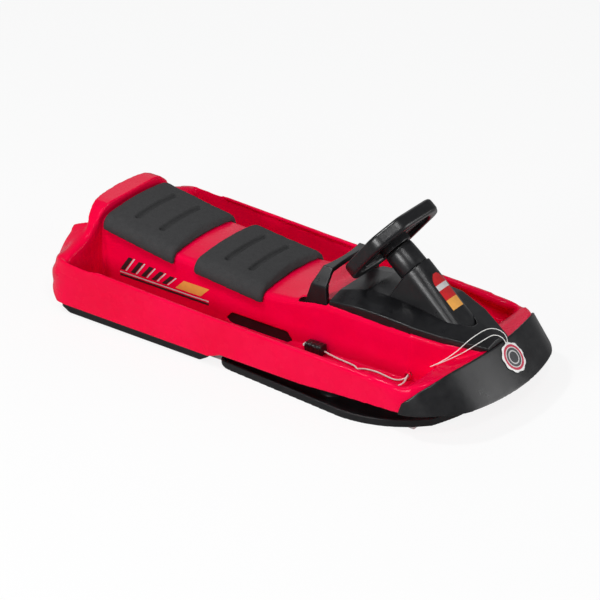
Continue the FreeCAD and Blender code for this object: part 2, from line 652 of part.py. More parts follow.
cowl_outer = cowl_loft(0)
seat_for_cowl = tunnel_loft(s.clearance)
cowl = cowl_outer.cut(cowl_loft(s.cowl_wall)).cut(seat_for_cowl)
over_sheer = [(x, z + 4 * s.clearance) for x, z in sheer_line[::-1]]
over_bumper = [(x, z + s.clearance) for x, z in bumper_view]
nose_room = side_prism(keel_line + over_sheer, across).fuse(side_prism(over_bumper, across))
cowl = cowl.cut(tub_loft(2 * s.clearance + s.bumper_skin).common(nose_room))
cowl = cowl.cut(down_column(s.sleeve_radius - 2 * s.sleeve_wall, s.sleeve_length, s.shaft_length))
boss_radius = 2.5 * s.cowl_screw_radius
cowl_bosses = []
cowl_screws = []
for x, y, z in cowl_screw_places:
    post = Part.makeCylinder(boss_radius, s.cowl_height, Vector(x, y, z)).common(cowl_outer)
    cowl_bosses.append(post.cut(seat_for_cowl))
cowl = cowl.fuse(cowl_bosses).cut(Part.makeCompound(cowl_screw_holes))
node("steering_cowl", one_solid(cowl))
roof_screw = tunnel_loft(-s.hull_skin - s.clearance)
for x, y, z in cowl_screw_places:
    under = roof_screw.common(Part.makeLine(Vector(x, y, 0), Vector(x, y, s.loft_high))).BoundBox.ZMax
    stem = Part.makeCylinder(s.cowl_screw_radius, s.cowl_screw_length, Vector(x, y, under))
    head = Part.makeCylinder(2 * s.cowl_screw_radius, s.cowl_screw_radius,
                             Vector(x, y, under - s.cowl_screw_radius - s.clearance))
    neck = Part.makeCylinder(s.cowl_screw_radius, s.clearance, Vector(x, y, under - s.clearance))
    cowl_screws.append(stem.fuse([neck, head]).removeSplitter())
node("cowl_screws", Part.makeCompound(cowl_screws))


# Steering column, in its own frame: z up the column, x up in the wheel's plane
def ring(radius, at):
    return Part.Wire([Part.Circle(Vector(0, 0, at), Vector(0, 0, 1), radius).toShape()])


def oval(across_x, across_y, at):
    ellipse = Part.Ellipse(Vector(0, across_y, at), Vector(across_x, 0, at), Vector(0, 0, at))
    return Part.Wire([ellipse.toShape()])


def tube(radius, bore, low, high):
    bar = Part.makeCylinder(radius, high - low, Vector(0, 0, low))
    return bar.cut(Part.makeCylinder(bore, high - low, Vector(0, 0, low)))


hub_low = -s.sleeve_drop
sleeve_top = hub_low
seam = sleeve_top - s.sleeve_length
tower_top = seam - s.seam_gap
tower_foot = tower_top - s.tower_length
tower_bore = s.sleeve_radius - s.sleeve_wall
flared = oval(s.sleeve_radius + s.seam_gap, s.sleeve_radius + s.tower_flare, tower_foot)
tower = Part.makeLoft([ring(s.sleeve_radius, tower_top), flared], True, True)
tower = tower.cut(Part.makeCylinder(tower_bore, s.tower_length, Vector(0, 0, tower_foot)))
tower.Placement = column
tower = tower.cut(cowl_loft(-s.clearance))
node("column_tower", one_solid(tower))
bore = s.shaft_radius + s.running
upper = tube(tower_bore - s.running, bore, tower_top - s.bush_length, tower_top)
node("column_bush_upper", upper, column)
low_end = -s.lower_bush_drop - s.lower_bush_length
node("column_bush_lower", tube(s.lower_bush_radius, bore, low_end, -s.lower_bush_drop), column)
shell = tube(s.sleeve_radius, tower_bore, seam, sleeve_top - s.sleeve_wall)
top_plate = tube(s.sleeve_radius, bore, sleeve_top - s.sleeve_wall, sleeve_top)
node("wheel_sleeve", shell.fuse(top_plate).removeSplitter(), column)

WHEEL_SHARES = [(0.96, 0.5), (0.5, 0.98), (-0.5, 0.9), (-0.96, 0.42)]


def wheel_plate(half, depth):
    right = [(x * half, y * half) for x, y in WHEEL_SHARES]
    points = right + [(x, -y) for x, y in reversed(right)]
    plate = face_of([Vector(x, y, -depth / 2) for x, y in points]).extrude(Vector(0, 0, depth))
    upright = [edge for edge in plate.Edges if abs(edge.tangentAt(edge.FirstParameter).z) > 0.5]
    return plate.makeFillet(s.rim_corner * half / s.wheel_half, upright)


rim_room = wheel_plate(s.wheel_half - s.rim_width, 2 * s.rim_depth)
rim_solid = wheel_plate(s.wheel_half, s.rim_depth).cut(rim_room)
rounded = [edge for edge in rim_solid.Edges if abs(abs(edge.CenterOfMass.z) - s.rim_depth / 2) < s.running]
rim_solid = rim_solid.makeFillet(s.rim_rounding, rounded)
hub = Part.makeCylinder(s.hub_radius, s.hub_depth, Vector(0, 0, hub_low))
spoke_low = -s.spoke_depth / 2
half_spoke = s.spoke_width / 2
reach = s.wheel_half - s.rim_width / 2
side_spokes = block((-half_spoke, -reach * 0.94, spoke_low),
                    (half_spoke, reach * 0.94, spoke_low + s.spoke_depth))
low_spoke = block((-reach * 0.95, -half_spoke, spoke_low), (0, half_spoke, spoke_low + s.spoke_depth))
wheel = rim_solid.fuse([hub, side_spokes, low_spoke])
shaft_hole = Part.makeCylinder(bore, s.hub_depth, Vector(0, 0, hub_low))
pin_level = hub_low + s.hub_depth / 2
pin_half = s.hub_radius - s.cap_inset
pin_start = Vector(0, -pin_half, pin_level)
pin_hole = Part.makeCylinder(s.pin_radius + s.running, 2 * pin_half, pin_start, Vector(0, 1, 0))
node("steering_wheel", one_solid(wheel.cut(shaft_hole).cut(pin_hole)), column)
cap_radius = s.hub_radius - s.cap_inset
cap_low = hub_low + s.hub_depth
cap = Part.makeCone(cap_radius, cap_radius - s.cap_height, s.cap_height, Vector(0, 0, cap_low))
node("wheel_cap", cap, column)
shaft = Part.makeCylinder(s.shaft_radius, s.shaft_length + cap_low, Vector(0, 0, -s.shaft_length))
node("steering_shaft", shaft.cut(pin_hole), column)
pin_hidden = pin_half - s.clearance
node("wheel_pin", Part.makeCylinder(s.pin_radius, 2 * pin_hidden, Vector(0, -pin_hidden, pin_level),
                                    Vector(0, 1, 0)), column)

# Crank at the foot of the shaft, with a ball that swings sideways in the tie rod's fork
crank_high = -s.shaft_length + s.crank_depth
half_crank = s.crank_width / 2
crank = block((-s.crank_length, -half_crank, -s.shaft_length), (0, half_crank, crank_high))
crank = crank.fuse([Part.makeCylinder(half_crank, s.crank_depth, Vector(x, 0, -s.shaft_length))
                    for x in (0, -s.crank_length)])
crank = crank.cut(Part.makeCylinder(bore, s.crank_depth, Vector(0, 0, -s.shaft_length)))
neck_radius = s.ball_radius / 2
node("crank_arm", crank.removeSplitter(), column)
neck = Part.makeCylinder(neck_radius, -s.shaft_length - ball_level, Vector(-s.crank_length, 0, ball_level))
ball = Part.makeSphere(s.ball_radius, Vector(-s.crank_length, 0, ball_level))
node("crank_ball", ball.fuse(neck).removeSplitter(), column)

# Seat pads, crowned, drawn in at their ends, with pressed cross channels
PAD_DRAW_SHARES = [(0.0, 0.4), (0.4, 0.8), (1.0, 1.0)]


def pad(start, length):
    end = start + length
    rows = [(start + at * s.pad_draw, share) for at, share in PAD_DRAW_SHARES]
    rows = rows + [(end - at * s.pad_draw, share) for at, share in reversed(PAD_DRAW_SHARES)]
    foam = Part.makeLoft([tunnel_section(x, s.clearance + s.pad_thickness * share, s.pad_crown * share)
                          for x, share in rows], True, True)
    seat = tunnel_loft(s.clearance, start - s.pad_draw, end + s.pad_draw)
    edges = []
    for x in (start, end):
        _, top, crown = interpolate(tunnel, x)
        edges.append((x, top - crown - s.pad_wrap))
    box = side_prism(edges + [(end, s.loft_high + s.overrun), (start, s.loft_high + s.overrun)], across)
    foam = foam.cut(seat).common(box)
    for share in (0.33, 0.67):
        foam = foam.cut(channel(start + share * length))
    return one_solid(foam)


def channel(x):
    """A pressed channel across the pad: a round bar bent to the pad's crown, with round ends."""
    grow = s.clearance + s.pad_thickness
    width, top, crown = interpolate(tunnel, x)
    top = top + grow + s.pad_crown
    crown = crown + s.pad_crown
    high = s.tunnel_half_top * width + grow
    lift = s.channel_radius - s.channel_depth
    drop = crown * (s.channel_half / high) ** 2
    ends = [Vector(x, side * s.channel_half, top - drop + lift) for side in (-1, 1)]
    bow = Part.Wire([Part.Arc(ends[0], Vector(x, 0, top + lift), ends[1]).toShape()])
    way = bow.Edges[0].tangentAt(bow.Edges[0].FirstParameter)
    disc = Part.Face(Part.Wire([Part.Circle(ends[0], way, s.channel_radius).toShape()]))
    bar = bow.makePipe(disc)
    return bar.fuse([Part.makeSphere(s.channel_radius, end) for end in ends])


node("seat_pad_rear", pad(s.pad_rear_start, s.pad_rear_length))
node("seat_pad_front", pad(s.pad_front_start, s.pad_front_length))

# Rear runners: solid bars with turned-up ends, screwed through the tub's floor
runner_top = keel_line[1][1] - s.clearance
runner_view = [(s.runner_rear, runner_top), (s.runner_rear, runner_top / 2),
               (s.runner_rear + s.runner_upturn, 0), (s.runner_front - s.runner_upturn, 0),
               (s.runner_front, runner_top * 0.55), (s.runner_front, runner_top)]
runner_inner = s.runner_outer - s.runner_width
runner = side_prism(runner_view, s.runner_outer)
runner = runner.common(block((s.runner_rear, runner_inner, 0), (s.runner_front, s.runner_outer, runner_top)))
lower_edges = [edge for edge in runner.Edges
               if edge.BoundBox.ZMax < s.clearance and edge.BoundBox.XLength > s.overrun]
runner = runner.makeFillet(s.hull_skin, lower_edges)
pilot = s.screw_diameter / 2 + s.running
pilots = [Part.makeCylinder(pilot, s.screw_length, Vector(place.x, abs(place.y), floor_top), Vector(0, 0, -1))
          for place in screw_places]
runner = runner.cut(Part.makeCompound(pilots))
node("rear_runner_left", runner)
node("rear_runner_right", mirror(runner))
runner_screws = []
for place in screw_places:
    stem = Part.makeCylinder(s.screw_diameter / 2, s.screw_length - s.clearance, place, Vector(0, 0, -1))
    head = Part.makeCylinder(s.screw_head / 2, s.screw_head_height, place)
    runner_screws.append(stem.fuse(head).removeSplitter())
node("runner_screws", Part.makeCompound(runner_screws))


# Front skis: dished plates whose outer edge follows the nose
def ski_plan(inset, low, high):
    """Plan of the right-hand ski: round nose, leaning outer edge, straight inner edge."""
    radius = s.ski_outer - inset
    centre = s.ski_nose - s.ski_outer
    slant = radius * math.sqrt(0.5)

    def at(x, y):
        return Vector(x, y, low)

    edges = [
        Part.LineSegment(at(s.ski_rear, 0), at(s.ski_rear, inset - s.ski_tail_outer)),
        Part.LineSegment(at(s.ski_rear, inset - s.ski_tail_outer), at(centre, -radius)),
        Part.Arc(at(centre, -radius), at(centre + slant, -slant), at(centre + radius, 0)),
        Part.LineSegment(at(centre + radius, 0), at(s.ski_rear, 0)),
    ]
    plan = Part.Face(Part.Wire([edge.toShape() for edge in edges])).extrude(Vector(0, 0, high - low))
    room = block((s.ski_rear + inset, -s.ski_outer, low), (s.ski_nose, -s.ski_inner - inset, high))
    plan = plan.common(room)
    tip = [edge for edge in plan.Edges if edge.BoundBox.ZLength > s.clearance
           and edge.BoundBox.XMin > s.tie_x and edge.BoundBox.YMax > -s.ski_inner - inset - s.running]
    tail = [edge for edge in plan.Edges if edge.BoundBox.ZLength > s.clearance
            and edge.BoundBox.XMax < s.ski_rear + inset + s.running]
    return plan.makeFillet(s.ski_tip_radius - inset, tip + tail)


tip_x = s.ski_nose
top_view = s.ski_height + s.ski_tip_rise
bend_x = s.ski_nose - 2 * s.overrun
ski_sole = [(s.ski_rear, s.ski_floor), (s.ski_rear + s.overrun, 0), (bend_x, 0), (tip_x, s.ski_tip_rise)]
ski_view = ski_sole + [(tip_x, top_view), (bend_x, s.ski_height), (s.ski_rear, s.ski_height)]
dish = [(x, z + s.ski_floor) for x, z in ski_sole[1:]]
dish_view = [(s.ski_rear, s.ski_floor)] + dish + [(tip_x, 2 * top_view), (s.ski_rear, 2 * top_view)]
ski = ski_plan(0, 0, top_view).common(side_prism(ski_view, across))
ski = ski.cut(ski_plan(s.ski_wall, 0, 2 * top_view).common(side_prism(dish_view, across)))
king_foot = Vector(s.kingpin_x, -s.kingpin_y, 0)
ski_boss = Part.makeCylinder(s.ski_boss_radius, s.ski_boss_height - s.ski_floor / 2,
                             king_foot + Vector(0, 0, s.ski_floor / 2))
king_bore = Part.makeCylinder(s.kingpin_radius + s.running, s.ski_boss_height,
                              king_foot + Vector(0, 0, s.ski_floor))
ski = one_solid(ski.fuse(ski_boss).cut(king_bore))
node("front_ski_right", ski)
node("front_ski_left", mirror(ski))

# Kingpins, bushes, nuts and steering arms
for side, sign in (("left", ""), ("right", "-")):
    pivot_y = f"{sign}kingpin_y"
    pin_top = "king_boss_high + clearance + king_nut_height"
    pin = cylinder(f"pivot_pin_{side}", "kingpin_radius", f"{pin_top} - ski_floor",
                   "kingpin_x", pivot_y, "ski_floor")
    keep(pin, f"kingpin_{side}")
    sleeve = cylinder(f"bush_sleeve_{side}", "king_bush_radius", "king_boss_high - king_boss_low",
                      "kingpin_x", pivot_y, "king_boss_low")
    flange = cylinder(f"bush_flange_{side}", "king_flange_radius", "king_flange",
                      "kingpin_x", pivot_y, "king_boss_low - king_flange")
    bush_bore = cylinder(f"bush_bore_{side}", "kingpin_radius + running", "2 * king_boss_high",
                         "kingpin_x", pivot_y, "0 * king_boss_high")
    keep(cut(f"bush_{side}", fuse(f"bush_blank_{side}", sleeve, flange), bush_bore), f"kingpin_bush_{side}")
    nut = doc.addObject("Part::Prism", f"nut_blank_{side}")
    nut.Polygon = 6
    bind(nut, "Circumradius", "king_nut_radius")
    bind(nut, "Height", "king_nut_height")
    bind(nut, "Placement.Base.x", "kingpin_x")
    bind(nut, "Placement.Base.y", pivot_y)
    bind(nut, "Placement.Base.z", "king_boss_high + clearance")
    nut_bore = cylinder(f"nut_bore_{side}", "kingpin_radius + running", "2 * king_boss_high",
                        "kingpin_x", pivot_y, "0 * king_boss_high")
    keep(cut(f"nut_{side}", nut, nut_bore), f"kingpin_nut_{side}")
    hub_blank = cylinder(f"arm_hub_{side}", "arm_hub_radius",
                         "king_boss_low - king_flange - clearance - ski_boss_height",
                         "kingpin_x", pivot_y, "ski_boss_height")
    bar = doc.addObject("Part::Box", f"arm_bar_{side}")
    bind(bar, "Length", "tie_x - kingpin_x + slot_length")
    bind(bar, "Width", "arm_width")
    bind(bar, "Height", "arm_thickness")
    bind(bar, "Placement.Base.x", "kingpin_x")
    bind(bar, "Placement.Base.y", f"{pivot_y} - arm_width / 2")
    bind(bar, "Placement.Base.z", "arm_low")
    slot = doc.addObject("Part::Box", f"arm_slot_{side}")
    bind(slot, "Length", "slot_length")
    bind(slot, "Width", "2 * tie_pin_radius + 2 * slot_play")
    bind(slot, "Height", "4 * arm_thickness")
    bind(slot, "Placement.Base.x", "tie_x - slot_length / 2")
    bind(slot, "Placement.Base.y", f"{pivot_y} - tie_pin_radius - slot_play")
    bind(slot, "Placement.Base.z", "arm_low - arm_thickness")
    arm_bore = cylinder(f"arm_bore_{side}", "kingpin_radius + running", "2 * king_boss_high",
                        "kingpin_x", pivot_y, "0 * king_boss_high")
    arm_blank = fuse(f"arm_blank_{side}", hub_blank, bar)
    keep(cut(f"arm_{side}", arm_blank, fuse(f"arm_cuts_{side}", slot, arm_bore)), f"steering_arm_{side}")

# Tie rod over the two arms, with a slot in its widened middle for the rocker's drive pin
rod = doc.addObject("Part::Box", "tie_bar")
bind(rod, "Length", "tie_width")
bind(rod, "Width", "2 * kingpin_y + 2 * tie_end")
bind(rod, "Height", "tie_height")
bind(rod, "Placement.Base.x", "tie_x - tie_width / 2")
bind(rod, "Placement.Base.y", "-kingpin_y - tie_end")
bind(rod, "Placement.Base.z", "arm_low + arm_thickness + clearance")
wide = doc.addObject("Part::Box", "tie_middle")
bind(wide, "Length", "drive_plate")
bind(wide, "Width", "drive_plate")
bind(wide, "Height", "tie_height")
bind(wide, "Placement.Base.x", "tie_x - drive_plate / 2")
bind(wide, "Placement.Base.y", "-drive_plate / 2")
bind(wide, "Placement.Base.z", "arm_low + arm_thickness + clearance")
drive = doc.addObject("Part::Box", "tie_slot")
bind(drive, "Length", "2 * drive_slot")
bind(drive, "Width", "2 * tie_pin_radius + 2 * slot_play")
bind(drive, "Height", "4 * tie_height")
bind(drive, "Placement.Base.x", "tie_x - drive_slot")
bind(drive, "Placement.Base.y", "-tie_pin_radius - slot_play")
bind(drive, "Placement.Base.z", "arm_low")
rod_holes = [cylinder(f"tie_hole_{side}", "tie_pin_radius + running", "4 * tie_height", "tie_x",
                      f"{sign}kingpin_y", "arm_low") for side, sign in (("left", ""), ("right", "-"))]
rod_blank = fuse("tie_shape", rod, wide)
keep(cut("tie_blank", rod_blank, fuse("tie_holes", drive, *rod_holes)), "tie_rod")
rod_low = s.arm_low + s.arm_thickness + s.clearance
rod_top = rod_low + s.tie_height
pins = []
for side in (1, -1):
    head_low = s.arm_low - s.clearance - s.tie_pin_head_height
    place = Vector(s.tie_x, side * s.kingpin_y, head_low)
    head = Part.makeCylinder(s.tie_pin_head, s.tie_pin_head_height, place)
    pins.append(head.fuse(Part.makeCylinder(s.tie_pin_radius, rod_top - head_low, place)).removeSplitter())
node("tie_rod_pins", Part.makeCompound(pins))

# Rocker: it turns the crank's swing round, so that the sled steers the way the wheel is turned
rocker_low = rod_top + s.rocker_lift
rocker_high = rocker_low + s.rocker_thickness
half_rocker = s.rocker_width / 2
gap = s.ball_radius + s.fork_play
fork_rear = ball_centre.x - s.fork_length * 0.3
fork_front = ball_centre.x + s.fork_length * 0.7
plate = block((s.tie_x, -half_rocker, rocker_low), (fork_front, half_rocker, rocker_high))
tail_round = Part.makeCylinder(half_rocker, s.rocker_thickness, Vector(s.tie_x, 0, rocker_low))
fork = block((fork_rear, -gap - s.fork_cheek, rocker_low),
             (fork_front, gap + s.fork_cheek, ball_centre.z + s.fork_rise))
fork = fork.cut(block((fork_rear, -gap, rocker_high), (fork_front, gap, s.loft_high)))
pivot_hole = Part.makeCylinder(s.rocker_pin_radius + s.running, s.rocker_thickness,
                               Vector(rocker_x, 0, rocker_low))
drive_hole = Part.makeCylinder(s.tie_pin_radius + s.running, s.rocker_thickness,
                               Vector(s.tie_x, 0, rocker_low))
rocker = plate.fuse([tail_round, fork]).cut(Part.makeCompound([pivot_hole, drive_hole]))
node("steering_rocker", one_solid(rocker))
drive_pin = Part.makeCylinder(s.tie_pin_radius, rocker_high - rod_low, Vector(s.tie_x, 0, rod_low))
node("rocker_drive_pin", drive_pin)
bridge_low = rocker_high + s.clearance
bridge_high = bridge_low + s.bridge_thickness
half_bridge = s.bridge_width / 2
bridge = block((rocker_x - half_bridge, -s.bridge_half, bridge_low),
               (rocker_x + half_bridge, s.bridge_half, bridge_high))
bridge_hole = Part.makeCylinder(s.rocker_pin_radius + s.running, s.bridge_thickness,
                                Vector(rocker_x, 0, bridge_low))
bridge_screws = []
bridge_bores = [bridge_hole]
for side in (1, -1):
    place = Vector(rocker_x, side * s.bridge_screw_y, bridge_low)
    bridge_bores.append(Part.makeCylinder(shank + s.running, s.bridge_thickness, place))
    head = Part.makeCylinder(2 * shank, shank, place - Vector(0, 0, shank))
    stem_length = s.bridge_thickness + s.clearance + s.hull_skin / 2
    bridge_screws.append(head.fuse(Part.makeCylinder(shank, stem_length, place)).removeSplitter())
node("rocker_bridge", bridge.cut(Part.makeCompound(bridge_bores)))
node("bridge_screws", Part.makeCompound(bridge_screws))
rivet_low = rocker_low - s.clearance
rivet_high = bridge_high + s.clearance
pivot_rivet = Part.makeCylinder(s.rocker_pin_radius, rivet_high - rivet_low, Vector(rocker_x, 0, rivet_low))
pivot_heads = [Part.makeCylinder(s.rocker_pin_head, s.rivet_head_height, Vector(rocker_x, 0, z))
               for z in (rivet_low - s.rivet_head_height, rivet_high)]
node("rocker_pin", pivot_rivet.fuse(pivot_heads).removeSplitter())
print("ball", ball_centre, "rocker pivot", rocker_x, "bridge top", bridge_high)

# Hand brake: a bail over the tunnel, a shaft inside it, and a claw behind each leg
bail_low = s.brake_z - s.bail_eye_radius
arch = [(s.bail_half, bail_low), (s.bail_half, s.bail_height - s.bail_corner),
        (s.bail_half - s.bail_corner, s.bail_height)]
arch = arch + [(-y, z) for y, z in reversed(arch)]
open_half = s.bail_half - s.bail_thickness
open_top = s.bail_height - s.bail_thickness
inner_corner = s.bail_corner * 0.75
opening = [(open_half, bail_low), (open_half, open_top - inner_corner), (open_half - inner_corner, open_top)]
opening = opening + [(-y, z) for y, z in reversed(opening)]
leg_top = s.bail_height - s.bail_corner
bail_view = [(s.brake_x - s.bail_eye_radius, bail_low), (s.bail_foot_rear, s.brake_z + s.bail_knee),
             (s.bail_foot_rear, s.brake_z + 2 * s.bail_knee), (s.bail_top_rear, leg_top),
             (s.bail_top_rear, s.bail_height), (s.bail_top_front, s.bail_height),
             (s.bail_top_front, leg_top), (s.bail_foot_front, s.brake_z + 2 * s.bail_knee),
             (s.bail_foot_front, s.brake_z + s.bail_knee), (s.brake_x + s.bail_eye_radius, bail_low)]
bail = end_prism(arch, s.bail_foot_rear - s.overrun, s.bail_foot_front + s.overrun)
bail = bail.cut(end_prism(opening, s.bail_foot_rear - s.overrun, s.bail_foot_front + s.overrun))
bail = bail.common(side_prism(bail_view, across))


def bar_trim(edge, waist, far):
    """What is cut from the bar on one side of an arc, for a slim middle."""
    def at(x, y):
        return Vector(x, y, leg_top)

    half = s.bail_half
    arc = Part.Arc(at(edge, -half), at(edge + waist, 0), at(edge, half)).toShape()
    rest = Part.makePolygon([at(edge, half), at(far, half), at(far, -half), at(edge, -half)])
    return Part.Face(Part.Wire([arc] + rest.Edges)).extrude(Vector(0, 0, s.bail_height))


bail = bail.cut(bar_trim(s.bail_top_rear, s.bail_waist, s.bail_top_rear - s.overrun))
bail = bail.cut(bar_trim(s.bail_top_front, -s.bail_front_waist, s.bail_top_front + s.overrun))
pivot = Vector(s.brake_x, -across, s.brake_z)
shaft_bore = Part.makeCylinder(s.brake_shaft_radius + s.running, 2 * across, pivot, Vector(0, 1, 0))
node("brake_bail", one_solid(bail.cut(shaft_bore)))
wall_height = interpolate(tunnel, s.brake_x)[1] - s.tunnel_crown - s.loft_low
wall_lean = (s.tunnel_half_low - s.tunnel_half_top) / wall_height
block_top = s.brake_z + s.brake_block / 2
wall_inside = s.tunnel_half_low - wall_lean * (block_top - s.loft_low) - s.hull_skin - s.clearance
half_block = s.brake_block / 2
block_inner = s.bail_half + s.clearance
bearing = block((s.brake_x - half_block, block_inner, s.brake_z - half_block),
                (s.brake_x + half_block, wall_inside, s.brake_z + half_block)).cut(shaft_bore)
node("brake_pivot_blocks", Part.makeCompound([bearing, mirror(bearing)]))
cross_shaft = cross_cylinder("cross_shaft", "brake_shaft_radius", "bail_half + hull_skin",
                             "brake_x", "brake_z")
keep(cross_shaft, "brake_shaft")
arm_outer = s.bail_half - s.bail_thickness - s.clearance
arm_inner = arm_outer - s.arm_plate
half_eye = s.arm_eye / 2
arm_view = [(s.claw_rear, s.arm_face_low), (s.claw_rear, s.arm_face_high),
            (s.arm_face_front - half_eye, s.arm_face_high),
            (s.brake_x - half_eye, s.brake_z + half_eye), (s.brake_x + half_eye, s.brake_z + half_eye),
            (s.brake_x + half_eye, s.brake_z - half_eye), (s.arm_face_front + half_eye, s.arm_face_low)]
reach_box = block((s.claw_rear, arm_inner, 0), (s.brake_x + s.arm_eye, arm_outer, s.loft_high))
facing = block((s.arm_face_rear, arm_inner, s.arm_face_low),
               (s.arm_face_front, s.arm_face_outer, s.arm_face_high))
brake_arm = side_prism(arm_view, across).common(reach_box).fuse(facing).cut(shaft_bore)
claw_inner = arm_inner - s.clearance - s.claw_thickness
tooth = (s.claw_front - s.claw_rear) / 6
claw_view = [(s.claw_rear, s.claw_low), (s.claw_rear, s.arm_face_high), (s.claw_front, s.arm_face_high),
             (s.claw_front, s.claw_low + tooth)]
for number in range(5, 0, -1):
    height = s.claw_low + (tooth if number % 2 else 0)
    claw_view.append((s.claw_rear + number * tooth, height))
claw_room = block((s.claw_rear, claw_inner, 0), (s.claw_front, claw_inner + s.claw_thickness, s.loft_high))
claw = side_prism(claw_view, across).common(claw_room)
rivet_z = (s.arm_face_low + s.arm_face_high) / 2
rivet_xs = [s.claw_rear + tooth, s.claw_front - tooth]
claw_bores = [Part.makeCylinder(shank + s.running, across, Vector(x, 0, rivet_z), Vector(0, 1, 0))
              for x in rivet_xs]
brake_arm = one_solid(brake_arm.cut(Part.makeCompound(claw_bores)))
claw = one_solid(claw.cut(Part.makeCompound(claw_bores)))
node("brake_arm_left", brake_arm)
node("brake_arm_right", mirror(brake_arm))
node("brake_claw_left", claw)
node("brake_claw_right", mirror(claw))
brake_rivets = []
for x in rivet_xs:
    place = Vector(x, claw_inner - s.clearance, rivet_z)
    length = arm_outer - claw_inner + s.clearance
    stem = Part.makeCylinder(shank, length, place, Vector(0, 1, 0))
    head = Part.makeCylinder(2 * shank, shank, place, Vector(0, -1, 0))
    rivet = stem.fuse(head).removeSplitter()
    brake_rivets += [rivet, mirror(rivet)]
node("brake_rivets", Part.makeCompound(brake_rivets))

# Black covers inside the tunnel, behind the windows beside the brake arms
cover_rear = s.arm_face_rear - s.window_lean - s.cover_lap
cover_front = s.arm_face_front + s.window_lean + s.cover_lap
cover_view = [(s.arm_face_rear - s.cover_lap, s.arm_face_high + s.cover_lap), (cover_rear, s.arm_face_low),
              (s.arm_face_rear - s.cover_lap, s.window_low - s.cover_lap),
              (s.arm_face_front + s.cover_lap, s.window_low - s.cover_lap), (cover_front, s.arm_face_low),
              (s.arm_face_front + s.cover_lap, s.arm_face_high + s.cover_lap)]
cover_seat = -s.hull_skin - s.clearance
covers = tunnel_loft(cover_seat, cover_rear, cover_front)
covers = covers.cut(tunnel_loft(cover_seat - s.cover_thickness,
                                cover_rear - s.overrun, cover_front + s.overrun))
covers = covers.common(side_prism(cover_view, across))
node("brake_window_covers", Part.makeCompound(covers.Solids))
collar_at = arm_inner - s.clearance
collar = Part.makeCylinder(s.collar_radius, s.collar_width,
                           Vector(s.brake_x, collar_at - s.collar_width, s.brake_z), Vector(0, 1, 0))
collar = collar.cut(shaft_bore)
node("brake_collars", Part.makeCompound([collar, mirror(collar)]))


# Cords: straight runs joined by arcs as large as the runs allow
def cord(label, route, diameter):
    points = [Vector(x + longer, y, z) for x, y, z in route]
    edges = []
    last = points[0]
    radii = []
    for before, at, after in zip(points, points[1:], points[2:]):
        into = (at - before).normalize()
        out = (after - at).normalize()
        turn = into.getAngle(out)
        trim = 0.45 * min((at - before).Length, (after - at).Length)
        start = at - into * trim
        end = at + out * trim
        radius = trim / math.tan(turn / 2)
        inside = (out - into).normalize()
        middle = at + inside * (radius / math.cos(turn / 2) - radius)
        edges.append(Part.LineSegment(last, start).toShape())
        edges.append(Part.Arc(start, middle, end).toShape())
        radii.append(radius)
        last = end
    edges.append(Part.LineSegment(last, points[-1]).toShape())
    path = Part.Wire(edges)
    section = Part.Wire([Part.Circle(points[0], points[1] - points[0], diameter / 2).toShape()])
    shape = path.makePipeShell([section], True, False)
    ideal = path.Length * math.pi * diameter ** 2 / 4
    print(label, "length", round(path.Length, 1), "radii", [round(radius, 1) for radius in radii],
          "volume against section times length", round(shape.Volume / ideal, 4))
    return node(label, shape)


# Routes chosen by hand: along the floor of the right foot well, and over the nose
TOW_ONE = [(152, -138, 75), (162, -136.5, 71), (180, -133.5, 66), (203, -134, 64.5), (226, -138, 66),
           (241, -145, 69.5), (254, -153, 69.5), (270, -164, 66), (291, -175, 64.5), (315, -181, 64.5),
           (338, -180, 64.5), (358, -171, 65), (370, -157, 67), (374, -142, 71), (370, -129, 75),
           (366.5, -119, 76.2), (366, -109.2, 76.2)]
TOW_TWO = [(366, -109.2, 71.8), (366, -119, 71.6), (363.5, -128, 69), (355, -135, 66), (341, -137.5, 64.5),
           (320, -135, 64.5), (298, -131, 64.5), (278, -131.5, 64.5), (261, -136, 64.5), (248, -145, 64.5),
           (239, -158, 64.5), (237, -174, 64.5), (231, -189, 64.5), (219, -200, 64.5), (202, -206, 64.5),
           (184, -208, 64.5)]
TAG_STRING = [(534, 18, 147), (533.2, 15, 156.5), (528.5, 10, 166), (521.5, 3, 172.5), (514, -8, 175.5),
              (510, -22, 173.5), (506, -38, 170.5), (500, -54, 166), (491, -67, 158), (480, -78, 149),
              (467, -90, 140.5), (456, -101, 134), (447, -110, 129), (439.5, -117, 125), (434.5, -124, 123.6),
              (434, -132, 125), (439, -137.5, 129.5), (447, -135.5, 135), (455, -127, 140), (462, -115, 145),
              (468, -101, 150.5), (474, -86, 157), (480, -70, 167), (485, -53, 175), (490, -35, 180),
              (493, -16, 182), (497, 1, 182), (503, 14, 179), (511, 22.5, 174.5), (520, 26, 169.5),
              (528, 26, 163), (533.3, 24, 155.5), (534.3, 22, 147)]
cord("tow_cord_one", TOW_ONE, s.cord_diameter)
cord("tow_cord_two", TOW_TWO, s.cord_diameter)
cord("tag_string", TAG_STRING, s.string_diameter)

